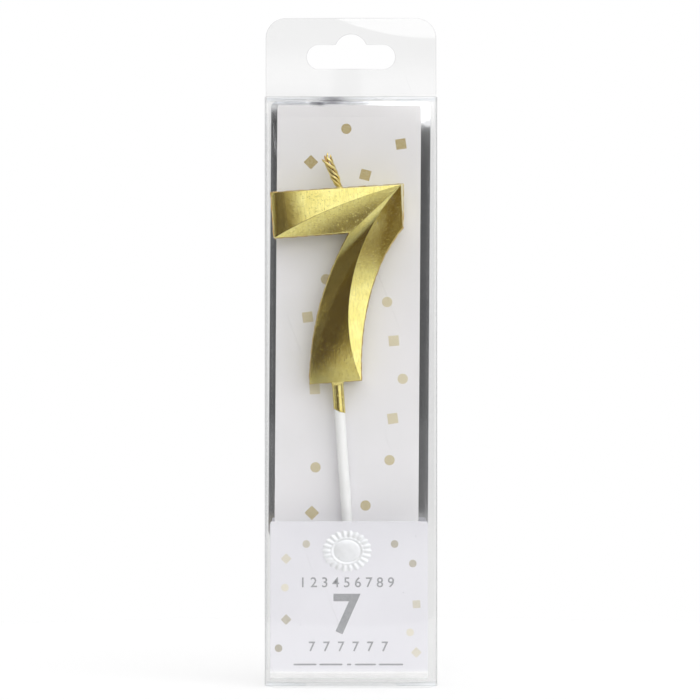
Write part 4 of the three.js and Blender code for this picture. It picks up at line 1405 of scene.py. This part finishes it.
# The blunt point's rounding, the taper over it, the plain rod, and a small bevel at its upper end.
stick_profile = [(POINT_FLAT + (POINT_RADIUS - POINT_FLAT) * math.sin(turn),
                  STICK_LOW + POINT_ROUND * (1 - math.cos(turn)))
                 for turn in np.linspace(0, 1, 9) * math.pi / 2]
stick_profile += [(POINT_RADIUS + (STICK_RADIUS - POINT_RADIUS) * share,
                   STICK_LOW + POINT_ROUND + POINT_LENGTH * share) for share in (0.3, 0.7, 0.95)]
stick_profile += [(STICK_RADIUS, height) for height in np.linspace(ROD_LOW, ROD_HIGH, 30)]
stick_profile += [(STICK_RADIUS, STICK_TOP), (STICK_RADIUS - STICK_BEVEL, STICK_TOP + STICK_BEVEL)]

stick_white, tree, output = new_material("stick_white")
cloud = use_group(tree, mottle, Spacing=200.0)["Value"]
hairlines = use_group(tree, scratches, Spacing=1200.0, Turn=0.07, Share=0.12)["Mask"]
shade = blend_colours(tree, cloud, (0.80, 0.805, 0.80, 1), (0.84, 0.845, 0.84, 1))
principled(tree, output, Base_Color=shade, Roughness=plus_share(tree, 0.32, hairlines, 0.15))
points, faces = turned(stick_profile, 40)
make_piece("moulded_stick", candle_place(points), faces, stick_white, "white_stick", stands_for=("stick",),
           crease=50)

# %% Gold coat on the stick
COAT_THICKNESS, COAT_OUT = 0.13, 0.105
# The mark is a distance from the parting line, and the coat has none near it.
NO_LINE = 3.0


def stick_coat():
    """A sleeve COAT_OUT off the stick. Its lower edge is at -9 - 0.75 cos(angle) - 0.1 sin(3 angle), longer on
    the right, and its radius flares to the foot as 0.45 exp(-depth / 0.45)."""
    angle = round_angles(48)
    end = -9.0 - 0.75 * np.cos(angle) - 0.1 * np.sin(3 * angle)
    share = np.concatenate([np.linspace(0, 0.2, 9), np.linspace(0.2, 0.94, 14)[1:], [0.97, 0.99, 1.0]])[:, None]
    height = -0.02 + (end + 0.02) * share
    radius = STICK_RADIUS + COAT_OUT + 0.45 * np.exp(height / 0.45)
    radius = radius - 0.03 * np.clip((share - 0.97) / 0.03, 0, 1)
    return np.stack([radius * np.cos(angle), radius * np.sin(angle), height], -1)


points, faces = thick_sheet(stick_coat(), COAT_THICKNESS, closed_across=True)
coat_gold = gold_material("coat_gold", (0.80, 0.70, 0.27, 1), (0.72, 0.59, 0.18, 1),
                          rough_low=0.17, rough_high=0.22, grain=0.000003)
make_piece("gold_coat_sleeve", candle_place(points), faces, coat_gold, "gold_coat",
           stands_for=("stick_gold_coat",), crease=60, marks=np.full(len(points), NO_LINE))

# %% [markdown]
# ## Tape
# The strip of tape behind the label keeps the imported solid's shape. Its material is the clear sheet's with
# more haze.

# %% Tape
tape_clear = clear_material("tape_clear", clear=0.985, haze=0.012)
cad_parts["tape_strip"].data.materials.clear()
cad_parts["tape_strip"].data.materials.append(tape_clear)
